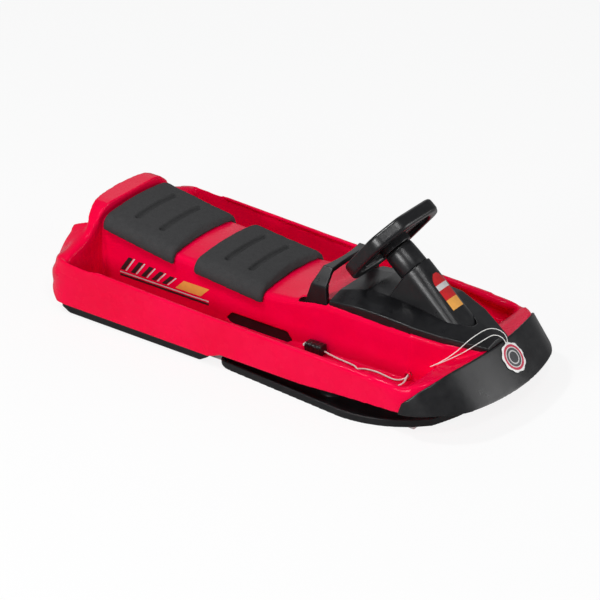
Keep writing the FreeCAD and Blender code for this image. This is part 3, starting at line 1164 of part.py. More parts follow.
# Tow grip lying in the right foot well, its knot, and the eyelet at the front of the well
half_grip = (s.grip_length / 2, s.grip_width / 2, s.grip_height / 2)
centre = (s.grip_x, s.grip_y, s.grip_z)
grip_solid = block([c - h for c, h in zip(centre, half_grip)], [c + h for c, h in zip(centre, half_grip)])
grip_solid = grip_solid.makeFillet(s.grip_rounding, [edge for edge in grip_solid.Edges
                                                     if edge.BoundBox.XLength > s.grip_width])
node("tow_grip", grip_solid)
knot_x = s.grip_x - s.grip_length / 2 - s.knot_radius
end_x, end_y, end_z = TOW_TWO[-1]
stopper = Vector(end_x + longer - s.knot_radius, end_y, end_z + s.knot_radius - s.cord_diameter / 2)
inner_knot = Vector(s.eyelet_x, TOW_ONE[-1][1] + s.knot_radius + s.clearance, s.eyelet_z)
knots = [Part.makeSphere(s.knot_radius, place)
         for place in (Vector(knot_x, s.grip_y, s.grip_z), stopper, inner_knot)]
node("tow_knot", Part.makeCompound(knots))
eyelet_at = Vector(s.eyelet_x, -eyelet_wall - s.eyelet_ring - s.clearance, s.eyelet_z)
rings = [Part.makeTorus(s.eyelet_radius, s.eyelet_ring, eyelet_at, Vector(0, 1, 0)),
         Part.makeTorus(s.loop_radius, s.loop_ring, Vector(s.loop_x, s.loop_y, s.loop_z), Vector(0, 1, 0))]
node("rope_eyelet", Part.makeCompound(rings))

# Hang tag lying on the nose
turn = math.asin(s.tag_y / s.nose_radius)
lean = math.atan(s.nose_rake_share)
outward = Vector(math.cos(turn) * math.cos(lean), math.sin(turn) * math.cos(lean), math.sin(lean))
skin_radius = s.nose_radius + s.clearance + s.bumper_skin
nose_x = nose_at(s.tag_z) - s.nose_radius + skin_radius * math.cos(turn)
tag_foot = Vector(nose_x, s.tag_y, s.tag_z) + outward * s.tag_standoff
node("hang_tag", Part.makeCylinder(s.tag_radius, s.tag_thickness, tag_foot, outward))

doc.recompute()
faults = [f"{obj.Label} {obj.State}" for obj in doc.Objects if {"Invalid", "Error"} & set(obj.State)]
for label, obj in nodes.items():
    if obj.Shape.isNull() or not obj.Shape.isValid() or not obj.Shape.Solids:
        faults.append(f"{label} has no sound solid")
if faults:
    raise SystemExit("; ".join(faults))
os.makedirs("parts", exist_ok=True)
for label, obj in nodes.items():
    obj.Shape.exportStep(f"parts/{label}.step")
print(len(nodes), "pieces written")
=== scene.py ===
# %% [markdown]
# # A steering sled, dressed around its solids
# The sled is a red moulded tub with a black steering column, two foam pads, a hand brake and a white
# tow cord. Its solids are already measured and packed, so this lesson never moves them. It loads them
# once, keeps their box, and then gives every piece the skin that the real sled shows.

# %% Load the frame
import bpy
import bmesh
import json
import math
import numpy as np
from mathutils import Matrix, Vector
from mathutils.bvhtree import BVHTree


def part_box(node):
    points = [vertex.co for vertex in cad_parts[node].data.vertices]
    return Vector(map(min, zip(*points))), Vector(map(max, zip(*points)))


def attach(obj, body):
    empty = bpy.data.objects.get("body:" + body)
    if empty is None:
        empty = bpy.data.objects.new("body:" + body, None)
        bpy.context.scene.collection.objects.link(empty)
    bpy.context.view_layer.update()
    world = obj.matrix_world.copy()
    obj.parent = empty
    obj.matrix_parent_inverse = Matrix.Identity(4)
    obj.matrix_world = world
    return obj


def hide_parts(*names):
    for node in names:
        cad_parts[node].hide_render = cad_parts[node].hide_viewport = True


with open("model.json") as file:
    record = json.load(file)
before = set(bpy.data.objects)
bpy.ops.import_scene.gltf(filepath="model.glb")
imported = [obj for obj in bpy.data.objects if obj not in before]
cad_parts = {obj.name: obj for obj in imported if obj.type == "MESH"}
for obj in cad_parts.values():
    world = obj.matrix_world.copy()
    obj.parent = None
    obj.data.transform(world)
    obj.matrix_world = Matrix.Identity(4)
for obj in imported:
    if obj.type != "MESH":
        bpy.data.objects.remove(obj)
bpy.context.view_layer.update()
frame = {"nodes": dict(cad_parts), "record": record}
nodes = frame["nodes"]
scene = bpy.context.scene
print("solids loaded:", len(nodes))

# %% [markdown]
# ## Where the viewer stands
# The sled is seen from its right front corner, from above. A long lens far away keeps the tub's long
# edges almost parallel, as a catalogue picture does. The camera looks along its own -Z, so pointing its
# Z axis back at the viewer is enough to aim it.

# %% Camera
azimuth = math.radians(36.3)
elevation = math.radians(27.8)
aim = Vector((-0.0167, 0.0, 0.0935))
towards_viewer = Vector((math.sin(azimuth) * math.cos(elevation),
                         -math.cos(azimuth) * math.cos(elevation), math.sin(elevation)))
viewer_distance = 7.185
sensor_mm, lens_mm = 36.0, 187.3
camera = bpy.data.objects.new("camera", bpy.data.cameras.new("camera"))
camera.data.sensor_width = sensor_mm
camera.data.lens = lens_mm
camera.data.clip_end = 60.0
camera.location = aim + towards_viewer * viewer_distance
camera.rotation_euler = towards_viewer.to_track_quat("Z", "Y").to_euler()
scene.collection.objects.link(camera)
scene.camera = camera
print("camera stands at", [round(c, 2) for c in camera.location])

# %% [markdown]
# ## Light and floor
# Moulded plastic shows its form through soft reflections. Three large lamps give those: one low on the
# viewer's side, one at the nose, and one behind for the sheen of the level faces. Two small lamps add
# highlights: one on the rolled rim, one on the column. The floor is pale and takes the sled's shadow. The
# camera sees it almost white, and reflections see it in shade, so that the plastics keep their colour.

# %% Lamps and world
def soft_lamp(label, place, target, width, power):
    lamp = bpy.data.objects.new(label, bpy.data.lights.new(label, "AREA"))
    lamp.data.shape = "DISK"
    lamp.data.size = width
    lamp.data.energy = power
    lamp.location = place
    lamp.rotation_euler = (Vector(place) - Vector(target)).to_track_quat("Z", "Y").to_euler()
    scene.collection.objects.link(lamp)


sled_middle = (0, 0, 0.1)
soft_lamp("shoulder_lamp", (0.2, -4.6, 1.7), sled_middle, 1.5, 105)
soft_lamp("nose_lamp", (3.6, 1.8, 0.9), (0.4, 0, 0.12), 2.4, 70)
soft_lamp("rim_lamp", (-1.49, -1.43, 4.0), sled_middle, 0.5, 75)
soft_lamp("glint_lamp", (2.3, -2.3, 3.9), sled_middle, 0.8, 50)
soft_lamp("back_lamp", (-2.7, 3.6, 2.6), sled_middle, 3.0, 16)
world = bpy.data.worlds.new("studio")
scene.world = world
world.use_nodes = True
background = world.node_tree.nodes["Background"]
background.inputs["Color"].default_value = (0.95, 0.97, 1.0, 1.0)
background.inputs["Strength"].default_value = 0.2
scene.view_settings.view_transform = "Standard"

# %% Floor
patch_low, patch_high = (-0.5, -0.2), (0.44, 0.2)
floor_reach = 20.0
reflected_level, reflected_share = 0.3, 0.85
columns = (-floor_reach, patch_low[0], patch_high[0], floor_reach)
rows = (-floor_reach, patch_low[1], patch_high[1], floor_reach)
floor_mesh = bpy.data.meshes.new("floor")
corners = [(x, y, 0.0) for y in rows for x in columns]
wide = len(columns)
firsts = [r * wide + c for r in range(len(rows) - 1) for c in range(wide - 1)]
floor_mesh.from_pydata(corners, [], [(k, k + 1, k + wide + 1, k + wide) for k in firsts])
floor = bpy.data.objects.new("floor", floor_mesh)
scene.collection.objects.link(floor)


def floor_paper(label, white_share):
    """Pale paper, of which the camera sees white_share as plain white."""
    paper = bpy.data.materials.new(label)
    paper.use_nodes = True
    tree = paper.node_tree
    sheet = tree.nodes["Principled BSDF"]
    sheet.inputs["Base Color"].default_value = (0.86, 0.86, 0.86, 1)
    sheet.inputs["Roughness"].default_value = 0.9
    surface = sheet.outputs[0]
    layers = (("Is Camera Ray", 1.0, white_share), ("Is Glossy Ray", reflected_level, reflected_share))
    ray = tree.nodes.new("ShaderNodeLightPath")
    for kind, glow_level, share in layers:
        glow = tree.nodes.new("ShaderNodeEmission")
        glow.inputs["Strength"].default_value = glow_level
        part = tree.nodes.new("ShaderNodeMath")
        part.operation = "MULTIPLY"
        part.inputs[1].default_value = share
        tree.links.new(ray.outputs[kind], part.inputs[0])
        blend = tree.nodes.new("ShaderNodeMixShader")
        tree.links.new(part.outputs[0], blend.inputs[0])
        tree.links.new(surface, blend.inputs[1])
        tree.links.new(glow.outputs[0], blend.inputs[2])
        surface = blend.outputs[0]
    tree.links.new(surface, tree.nodes["Material Output"].inputs["Surface"])
    return paper


floor_mesh.materials.append(floor_paper("pale_floor", 0.86))
floor_mesh.materials.append(floor_paper("shaded_floor", 0.0))
patch_face = 4
floor_mesh.polygons[patch_face].material_index = 1
print("floor laid, with a plain patch under the seat tunnel")

# %% [markdown]
# ## Finishes
# No real plastic is one flat colour. Three small helpers cover most of it: a mottle shifts the colour a
# little, a bloom shifts the gloss, and a grain raises a fine texture. Each reads the piece's own
# coordinates in metres, so a scale of 400 means a feature every few millimetres.

# %% Helpers for finishes
def new_finish(label, **sockets):
    finish = bpy.data.materials.new(label)
    finish.use_nodes = True
    shader = finish.node_tree.nodes["Principled BSDF"]
    for socket, value in sockets.items():
        shader.inputs[socket.replace("_", " ")].default_value = value
    return finish, finish.node_tree, shader


def noise(tree, scale, detail=3.0, stretch=(1, 1, 1)):
    where = tree.nodes.new("ShaderNodeTexCoord")
    fit = tree.nodes.new("ShaderNodeMapping")
    fit.inputs["Scale"].default_value = stretch
    cloud = tree.nodes.new("ShaderNodeTexNoise")
    cloud.inputs["Scale"].default_value = scale
    cloud.inputs["Detail"].default_value = detail
    tree.links.new(where.outputs["Object"], fit.inputs["Vector"])
    tree.links.new(fit.outputs["Vector"], cloud.inputs["Vector"])
    return cloud.outputs["Fac"]


def ramp(tree, value, stops, steps="LINEAR"):
    band = tree.nodes.new("ShaderNodeValToRGB")
    band.color_ramp.interpolation = steps
    marks = band.color_ramp.elements
    while len(marks) < len(stops):
        marks.new(0.5)
    for mark, (place, colour) in zip(marks, stops):
        mark.position = place
        mark.color = (*colour, 1.0)
    tree.links.new(value, band.inputs["Fac"])
    return band.outputs["Color"]


def mottle(tree, shader, scale, dark, light, stretch=(1, 1, 1)):
    colour = ramp(tree, noise(tree, scale, 4.0, stretch), [(0.3, dark), (0.7, light)])
    tree.links.new(colour, shader.inputs["Base Color"])


def bloom(tree, shader, scale, low, high, stretch=(1, 1, 1)):
    spread = tree.nodes.new("ShaderNodeMapRange")
    spread.inputs["From Min"].default_value = 0.3
    spread.inputs["From Max"].default_value = 0.7
    spread.inputs["To Min"].default_value = low
    spread.inputs["To Max"].default_value = high
    tree.links.new(noise(tree, scale, 4.0, stretch), spread.inputs["Value"])
    tree.links.new(spread.outputs["Result"], shader.inputs["Roughness"])


def grain(tree, shader, scale, depth, strength=0.5, stretch=(1, 1, 1)):
    raised = tree.nodes.new("ShaderNodeBump")
    raised.inputs["Strength"].default_value = strength
    raised.inputs["Distance"].default_value = depth
    tree.links.new(noise(tree, scale, 2.0, stretch), raised.inputs["Height"])
    tree.links.new(raised.outputs["Normal"], shader.inputs["Normal"])


print("helpers: mottle, bloom, grain")

# %% [markdown]
# ## Plastics, foam, metal, cord and card
# The tub is a glossy polyethylene with a faint flow mottle. The black mouldings are satin with a spark
# eroded grain. The foam is matte and pored. The hidden metal is zinc plated, and the skis carry fine
# scratches along their length.

# %% The finishes
tub_red, tree, shader = new_finish("tub_red", Specular_IOR_Level=0.12, Specular_Tint=(1.0, 0.12, 0.35, 1.0),
                                   Coat_Weight=0.12, Coat_Roughness=0.12)
mottle(tree, shader, 7.0, (0.78, 0.0, 0.038), (0.84, 0.0005, 0.052))
bloom(tree, shader, 22.0, 0.22, 0.32)
grain(tree, shader, 900.0, 0.0003, 0.12)

satin_black, tree, shader = new_finish("satin_black", Specular_IOR_Level=0.45)
mottle(tree, shader, 60.0, (0.006, 0.006, 0.007), (0.01, 0.01, 0.011))
bloom(tree, shader, 30.0, 0.27, 0.36)
grain(tree, shader, 1400.0, 0.0003, 0.22)

pad_foam, tree, shader = new_finish("pad_foam", Specular_IOR_Level=0.3)
mottle(tree, shader, 500.0, (0.028, 0.028, 0.029), (0.044, 0.044, 0.045))
bloom(tree, shader, 80.0, 0.72, 0.9)
grain(tree, shader, 1100.0, 0.0006, 0.5)

zinc_steel, tree, shader = new_finish("zinc_steel", Metallic=1.0)
mottle(tree, shader, 240.0, (0.46, 0.47, 0.48), (0.62, 0.62, 0.61))
bloom(tree, shader, 300.0, 0.3, 0.46, (1, 6, 1))
grain(tree, shader, 800.0, 0.0002, 0.2, (1, 8, 1))

white_cord, tree, shader = new_finish("white_cord", Sheen_Weight=0.25)
mottle(tree, shader, 900.0, (0.68, 0.67, 0.64), (0.86, 0.86, 0.84))
bloom(tree, shader, 500.0, 0.7, 0.85)
grain(tree, shader, 2600.0, 0.0003, 0.5)

runner_black, tree, shader = new_finish("runner_black", Specular_IOR_Level=0.3)
mottle(tree, shader, 30.0, (0.007, 0.007, 0.008), (0.012, 0.012, 0.013))
bloom(tree, shader, 60.0, 0.3, 0.52, (0.2, 6, 6))
grain(tree, shader, 300.0, 0.0003, 0.25, (0.05, 6, 6))

tag_card, tree, shader = new_finish("tag_card")
mottle(tree, shader, 400.0, (0.74, 0.73, 0.71), (0.84, 0.83, 0.82))
bloom(tree, shader, 90.0, 0.5, 0.66)
grain(tree, shader, 1500.0, 0.0002, 0.2)

by_slot = {"red_plastic": tub_red, "black_plastic": satin_black, "foam": pad_foam, "steel": zinc_steel,
           "cord": white_cord, "card": tag_card}
for subpart in frame["record"]["subparts"]:
    solid = nodes[subpart["node"]]
    solid.data.materials.clear()
    solid.data.materials.append(by_slot[subpart["material_slot"]])
nodes["rope_eyelet"].data.materials[0] = tub_red
print("finishes:", sorted(m.name for m in bpy.data.materials))

# %% [markdown]
# ## Cords
# A cord is one fixed length that lies under its own weight. Its route is a short list of points, the same
# ones that the solids use, and a NURBS spline through them gives the soft line. The braid is then a tube
# swept along that line, with eight yarns that pass over and under each other as a low relief.

# %% A line from a route
def cord_line(label, route):
    curve = bpy.data.curves.new(label + "_line", "CURVE")
    curve.dimensions = "3D"
    spline = curve.splines.new("NURBS")
    spline.points.add(len(route) - 1)
    for point, place in zip(spline.points, route):
        point.co = (place[0] / 1000, place[1] / 1000, place[2] / 1000, 1.0)
    spline.order_u = 3
    spline.use_endpoint_u = True
    spline.resolution_u = 20
    guide = bpy.data.objects.new(label + "_line", curve)
    scene.collection.objects.link(guide)
    mesh = bpy.data.meshes.new_from_object(guide)
    line = np.array([v.co[:] for v in mesh.vertices])
    bpy.data.objects.remove(guide)
    bpy.data.meshes.remove(mesh)
    return line


# %% A braided tube along a line
aside = (0.31, 0.17, 0.93)


def frames_along(line):
    """Two directions across the line at each of its points, carried along it without twist."""
    ways = np.gradient(line, axis=0)
    ways /= np.linalg.norm(ways, axis=1)[:, None]
    side = np.cross(ways[0], aside)
    sides = []
    for way in ways:
        side = side - way * side.dot(way)
        side = side / np.linalg.norm(side)
        sides.append(side)
    sides = np.array(sides)
    return sides, np.cross(ways, sides)


def new_piece(label, verts, faces, finish):
    mesh = bpy.data.meshes.new(label)
    mesh.from_pydata([tuple(v) for v in verts], [], faces)
    mesh.validate()
    mesh.shade_smooth()
    mesh.materials.append(finish)
    piece = bpy.data.objects.new(label, mesh)
    scene.collection.objects.link(piece)
    return piece


def braid(label, line, radius, finish, around=16, yarns=4, lay=0.011, relief=0.16):
    sides, ups = frames_along(line)
    run = np.concatenate([[0], np.cumsum(np.linalg.norm(np.diff(line, axis=0), axis=1))])
    turn = np.linspace(0, 2 * math.pi, around, endpoint=False)
    over = np.maximum(np.cos(yarns * turn[None, :] + 2 * math.pi * run[:, None] / lay),
                      np.cos(yarns * turn[None, :] - 2 * math.pi * run[:, None] / lay))
    reach = radius * (1 - relief + relief * over)
    verts = (line[:, None, :] + reach[:, :, None] * (np.cos(turn)[None, :, None] * sides[:, None, :]
                                                     + np.sin(turn)[None, :, None] * ups[:, None, :]))
    verts = list(verts.reshape(-1, 3)) + [line[0], line[-1]]
    faces = []
    for i in range(len(line) - 1):
        for j in range(around):
            k = (j + 1) % around
            faces.append((i * around + j, i * around + k, (i + 1) * around + k, (i + 1) * around + j))
    last = (len(line) - 1) * around
    for j in range(around):
        k = (j + 1) % around
        faces.append((len(verts) - 2, k, j))
        faces.append((len(verts) - 1, last + j, last + k))
    return new_piece(label, verts, faces, finish), float(run[-1])


# %% Routes in millimetres
tow_one_route = [(152, -138, 75), (162, -136.5, 71), (180, -133.5, 66), (203, -134, 64.5),
                 (226, -138, 66), (241, -145, 69.5), (254, -153, 69.5), (270, -164, 66),
                 (291, -175, 64.5), (315, -181, 64.5), (338, -180, 64.5), (358, -171, 65),
                 (370, -157, 67), (374, -142, 71), (370, -129, 75), (366.5, -119, 76.2),
                 (366, -109.2, 76.2)]
tow_two_route = [(366, -109.2, 71.8), (366, -119, 71.6), (363.5, -128, 69), (355, -135, 66),
                 (341, -137.5, 64.5), (320, -135, 64.5), (298, -131, 64.5), (278, -131.5, 64.5),
                 (261, -136, 64.5), (248, -145, 64.5), (239, -158, 64.5), (237, -174, 64.5),
                 (231, -189, 64.5), (219, -200, 64.5), (202, -206, 64.5), (184, -208, 64.5)]
tag_string_route = [(534, 18, 147), (533.2, 15, 156.5), (528.5, 10, 166), (521.5, 3, 172.5),
                    (514, -8, 175.5), (510, -22, 173.5), (506, -38, 170.5), (500, -54, 166),
                    (491, -67, 158), (480, -78, 149), (467, -90, 140.5), (456, -101, 134),
                    (447, -110, 129), (439.5, -117, 125), (434.5, -124, 123.6), (434, -132, 125),
                    (439, -137.5, 129.5), (447, -135.5, 135), (455, -127, 140), (462, -115, 145),
                    (468, -101, 150.5), (474, -86, 157), (480, -70, 167), (485, -53, 175),
                    (490, -35, 180), (493, -16, 182), (497, 1, 182), (503, 14, 179), (511, 22.5, 174.5),
                    (520, 26, 169.5), (528, 26, 163), (533.3, 24, 155.5), (534.3, 22, 147)]

# %% Tow cord and tag string
tow_one_line = cord_line("tow_one", tow_one_route)
tow_two_line = cord_line("tow_two", tow_two_route)
string_line = cord_line("tag_string", tag_string_route)
tow_radius, string_radius = 0.002, 0.001
tow_one, tow_one_length = braid("tow_cord_to_grip", tow_one_line, tow_radius, white_cord)
tow_two, tow_two_length = braid("tow_cord_tail", tow_two_line, tow_radius, white_cord)
string, string_length = braid("tag_string_loop", string_line, string_radius, white_cord,
                              around=10, yarns=3, lay=0.006, relief=0.14)
for piece, node in ((tow_one, "tow_cord_one"), (tow_two, "tow_cord_two"), (string, "tag_string")):
    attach(piece, "hull")
    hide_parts(node)
print("cord lengths in metres:", round(tow_one_length, 3), round(tow_two_length, 3), round(string_length, 3))

# %% [markdown]
# ## Knots
# The cord is stopped by overhand knots: behind the grip, on the tail, and inside the tunnel wall. A
# trefoil is the closed form of an overhand knot, so a short braid along a small trefoil looks tight.

# %% Knots
knot_size, knot_depth, knot_yarn = 0.00135, 1.4, 0.0019


def knot_line(centre, axis, size):
    axis = Vector(axis).normalized()
    side = axis.orthogonal().normalized()
    up = axis.cross(side)
    line = []
    for t in np.linspace(0, 2 * math.pi, 97):
        x = math.sin(t) + 2 * math.sin(2 * t)
        y = math.cos(t) - 2 * math.cos(2 * t)
        line.append(Vector(centre) + size * (x * side + y * up - knot_depth * math.sin(3 * t) * axis))
    return np.array([p[:] for p in line])


grip_low, grip_high = (Vector(corner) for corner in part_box("tow_grip"))
grip_middle = (grip_low + grip_high) / 2
knot_radius = 0.006
knot_places = {"tow_knot_grip": (grip_low.x - knot_radius, grip_middle.y, grip_middle.z),
               "tow_knot_tail": (0.178, -0.208, 0.0685), "tow_knot_inside": (0.366, -0.1029, 0.074)}
knots = {}
for label, place in knot_places.items():
    axis = (0, 1, 0) if label == "tow_knot_inside" else (1, 0, 0)
    knots[label], _ = braid(label, knot_line(place, axis, knot_size), knot_yarn, white_cord)
    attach(knots[label], "hull")
    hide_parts("tow_knot")
print("knots tied:", len(knots))

# %% [markdown]
# ## Grip
# The tow cord runs through a moulded bar that the hand closes on. Rings of a squarish oval, a little
# narrower between the fingers, make that bar, and rounded end rings close it.

# %% Grip
def loft(label, rings, finish):
    """A closed skin through a row of rings with the same number of points."""
    count = len(rings[0])
    verts = [p for ring in rings for p in ring]
    faces = []
    for i in range(len(rings) - 1):
        for j in range(count):
            k = (j + 1) % count
            faces.append((i * count + j, i * count + k, (i + 1) * count + k, (i + 1) * count + j))
    faces.append(tuple(range(count))[::-1])
    faces.append(tuple(range(len(verts) - count, len(verts))))
    return new_piece(label, verts, faces, finish)


def squarish(half_y, half_z, count=32, power=3.4):
    ring = []
    for turn in np.linspace(0, 2 * math.pi, count, endpoint=False):
        c = math.cos(turn)
        s = math.sin(turn)
        ring.append((half_y * math.copysign(abs(c) ** (2 / power), c),
                     half_z * math.copysign(abs(s) ** (2 / power), s)))
    return ring


grip_half = (grip_high - grip_low) / 2
grip_rings = []
finger_share, end_start, end_share = 0.07, 0.86, 0.3
for share in np.linspace(-1, 1, 41):
    finger = 1 - finger_share + finger_share * abs(math.cos(2 * math.pi * share))
    end = 1 - max(0, abs(share) - end_start) ** 2 / (1 - end_start) ** 2 * end_share
    ring = squarish(grip_half.y * finger * end, grip_half.z * finger * end)
    x = grip_middle.x + grip_half.x * share
    grip_rings.append([(x, grip_middle.y + y, grip_middle.z + z) for y, z in ring])
grip = loft("tow_grip_bar", grip_rings, satin_black)
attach(grip, "hull")
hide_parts("tow_grip")
print("grip rings:", len(grip_rings))

# %% [markdown]
# ## Hang tag
# A round card seal hangs over the nose on a loop of string. It is a thin disc with a scalloped edge, bent a
# little to the bumper's curve. Its print is a plain set of rings, read from the distance to the middle of
# the card.

# %% Hang tag
tag_points = np.array([v.co[:] for v in nodes["hang_tag"].data.vertices])
tag_middle = tag_points.mean(axis=0)
_, _, tag_axes = np.linalg.svd(tag_points - tag_middle)
tag_out = tag_axes[2] * math.copysign(1.0, tag_axes[2][0])
tag_across = np.cross((0.0, 0.0, 1.0), tag_out)
tag_across /= np.linalg.norm(tag_across)
tag_up = np.cross(tag_out, tag_across)
tag_hub, tag_radius, tag_around = 0.004, 0.0368, 72
scallops, scallop_share = 9, 0.075
card_bend, card_lift, card_thick = 1.1, 0.0012, 0.0011
print_radius = 0.0372


def tag_sheet():
    """A flat disc of rings round a middle point, with a scalloped edge."""
    bm = bmesh.new()
    middle = bm.verts.new((0, 0, 0))
    last = None
    for radius in np.linspace(tag_hub, tag_radius, 12):
        ring = []
        for turn in np.linspace(0, 2 * math.pi, tag_around, endpoint=False):
            cut = scallop_share * (radius / tag_radius) ** 3 * (0.5 - 0.5 * math.cos(scallops * turn))
            reach = radius * (1 - cut)
            ring.append(bm.verts.new((reach * math.cos(turn), reach * math.sin(turn), 0)))
        for j in range(tag_around):
            k = (j + 1) % tag_around
            if last is None:
                bm.faces.new((middle, ring[j], ring[k]))
            else:
                bm.faces.new((last[j], ring[j], ring[k], last[k]))
        last = ring
    return bm


sheet = tag_sheet()
for vert in sheet.verts:
    x, y, _ = vert.co
    lift = -x * x / card_bend + card_lift
    vert.co = Vector(tag_middle + tag_across * x + tag_up * y + tag_out * lift)
tag_mesh = bpy.data.meshes.new("hang_tag_seal")
sheet.to_mesh(tag_mesh)
sheet.free()
tag_mesh.shade_smooth()
tag = bpy.data.objects.new("hang_tag_seal", tag_mesh)
scene.collection.objects.link(tag)
thick = tag.modifiers.new("card", "SOLIDIFY")
thick.thickness = card_thick
thick.offset = 0.0

seal_print, tree, shader = new_finish("seal_print")
where = tree.nodes.new("ShaderNodeTexCoord")
reach = tree.nodes.new("ShaderNodeVectorMath")
reach.operation = "DISTANCE"
reach.inputs[1].default_value = tuple(tag_middle)
tree.links.new(where.outputs["Object"], reach.inputs[0])
spread = tree.nodes.new("ShaderNodeMapRange")
spread.inputs["From Max"].default_value = print_radius
tree.links.new(reach.outputs["Value"], spread.inputs["Value"])
rings = ramp(tree, spread.outputs["Result"],
             [(0.0, (0.035, 0.035, 0.04)), (0.36, (0.55, 0.54, 0.54)), (0.44, (0.06, 0.055, 0.06)),
              (0.6, (0.66, 0.64, 0.63)), (0.66, (0.52, 0.02, 0.06)), (0.82, (0.82, 0.81, 0.8))], "CONSTANT")
tree.links.new(rings, shader.inputs["Base Color"])
bloom(tree, shader, 90.0, 0.35, 0.5)
grain(tree, shader, 1500.0, 0.0002, 0.15)
tag_mesh.materials.append(seal_print)
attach(tag, "hull")
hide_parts("hang_tag")
print("tag at", tag_middle.round(3))

# %% [markdown]
# ## Moulded skins
# A mould has no sharp edge: every corner is drawn with a radius so that the plastic flows and releases.
# The measured solids have sharp corners, so a copy of each is rebuilt as an even skin of small cells,
# relaxed until its corners round off, and thinned again where it is flat. The flat walls stay flat.

# %% Rounding helpers
def settled(piece):
    """Swap a piece's mesh for what its modifiers make of it."""
    mesh = bpy.data.meshes.new_from_object(piece.evaluated_get(bpy.context.evaluated_depsgraph_get()))
    before = piece.data
    piece.modifiers.clear()
    piece.data = mesh
    bpy.data.meshes.remove(before)
    return mesh


def evened(piece, cell, relax):
    """Rebuild a piece as an even skin of small cells, relaxed a number of times."""
    cells = piece.modifiers.new("cells", "REMESH")
    cells.mode = "VOXEL"
    cells.voxel_size = cell
    soft = piece.modifiers.new("soft", "SMOOTH")
    soft.factor = 0.5
    soft.iterations = relax


def skin_tree(mesh):
    """A search tree of a mesh's faces, to find where a ray meets them."""
    return BVHTree.FromPolygons([vert.co[:] for vert in mesh.vertices],
                                [face.vertices[:] for face in mesh.polygons])


def places(mesh):
    flat = np.empty(len(mesh.vertices) * 3)
    mesh.vertices.foreach_get("co", flat)
    return flat.reshape(-1, 3)


def put(mesh, spots):
    mesh.vertices.foreach_set("co", np.asarray(spots).ravel())
    mesh.update()


def relaxed(mesh, chosen, times):
    """Round off only the chosen corners, by moving each point towards its neighbours."""
    bm = bmesh.new()
    bm.from_mesh(mesh)
    bm.verts.ensure_lookup_table()
    verts = [bm.verts[int(i)] for i in np.flatnonzero(chosen)]
    for _ in range(times):
        bmesh.ops.smooth_vert(bm, verts=verts, factor=0.5,
                              use_axis_x=True, use_axis_y=True, use_axis_z=True)
    bm.to_mesh(mesh)
    bm.free()


def moulded(label, node, cell, relax, share, finish, body, shaped=None, joined=()):
    """The rounded skin of one node, with other forms joined to it first and a last shaping if any."""
    bm = bmesh.new()
    bm.from_mesh(nodes[node].data)
    for form in joined:
        bmesh.ops.recalc_face_normals(bm, faces=bm.faces[:])
        bm.from_mesh(form.data)
        bpy.data.objects.remove(form)
    bmesh.ops.recalc_face_normals(bm, faces=bm.faces[:])
    start = bpy.data.meshes.new(label)
    bm.to_mesh(start)
    bm.free()
    piece = bpy.data.objects.new(label, start)
    scene.collection.objects.link(piece)
    coarse = 1.0
    evened(piece, cell * coarse, relax)
    mesh = settled(piece)
    if shaped:
        shaped(mesh)
    thin = piece.modifiers.new("thin", "DECIMATE")
    thin.ratio = share * coarse
    mesh = settled(piece)
    mesh.name = label
    mesh.shade_smooth()
    mesh.materials.clear()
    mesh.materials.append(finish)
    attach(piece, body)
    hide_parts(node)
    print(label, "faces:", len(mesh.polygons))
    return piece


# %% [markdown]
# ## The tub
# The tub is one blown shell. Two things make it look moulded and not folded: its rim sweeps up at the
# tail into the seat back, and the top edge of each side wall is rolled into a bead that grows towards the
# nose. Both are lofted forms, joined to the shell before the skin is rebuilt, so that all melts into one.
# A slab under the slanted step of each well's floor is joined in the same way, because the shell is
# thinner there than the cells of the skin. The corners at the nose and tail are then rounded further.

# %% Tail fairings
tub_low, tub_high = (np.array(corner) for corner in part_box("hull_shell"))
_, pad_high = (np.array(corner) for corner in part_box("seat_pad_rear"))
crest_x = tub_low[0] + 0.084
crest_flat, crest_round, front_slant = 0.004, 0.003, 0.012
tail_gap, tail_radius, back_power = 0.004, 0.075, 1.7
fairing_outs = (0.246, 0.24, 0.232, 0.22, 0.2, 0.18, 0.16, 0.14, 0.12)
crest_heights = ([0.12, 0.125, 0.232, 0.246], [0.192, 0.19, 0.152, 0.14])
edge_heights = ([0.12, 0.147, 0.2, 0.246], [0.168, 0.146, 0.124, 0.115])
low_heights = ([0.15, 0.2, 0.246], [0.04, 0.06, 0.1])
riser_xs = [crest_x, crest_x + 0.016, crest_x + 0.036, crest_x + 0.07]
riser_tops = [0.147, 0.139, 0.131, 0.122]
riser_inner, riser_outer, riser_low = 0.2445, 0.2495, 0.11


def eased(value, start, end):
    share = np.clip((value - start) / (end - start), 0, 1)
    return share * share * (3 - 2 * share)


def fairing_ring(out, side):
    """Side view of the fairing at one distance from the middle: slanted front, crest and round back."""
    crest = np.interp(out, *crest_heights)
    edge = np.interp(out, *edge_heights)
    low = np.interp(out, *low_heights)
    round_off = min(1.0, max(0.0, out - (tub_high[1] - tail_radius)) / tail_radius)
    tail = tub_low[0] + tail_gap + tail_radius * (1 - math.sqrt(1 - round_off ** 2))
    ring = [(crest_x + front_slant, low), (crest_x, crest - crest_round)]
    for share in np.linspace(0, 1, 8):
        ring.append((crest_x - crest_flat + (tail - crest_x + crest_flat) * share,
                     crest + (edge - crest) * share ** back_power))
    ring.append((tail, low))
    return [(x, side * out, z) for x, z in ring]


def riser_ring(x, side):
    """The side wall's rim, rising towards the fairing."""
    top = np.interp(x, riser_xs, riser_tops)
    return [(x, side * out, z) for out, z in ((riser_inner, riser_low), (riser_inner, top),
                                              (riser_outer, top), (riser_outer, riser_low))]


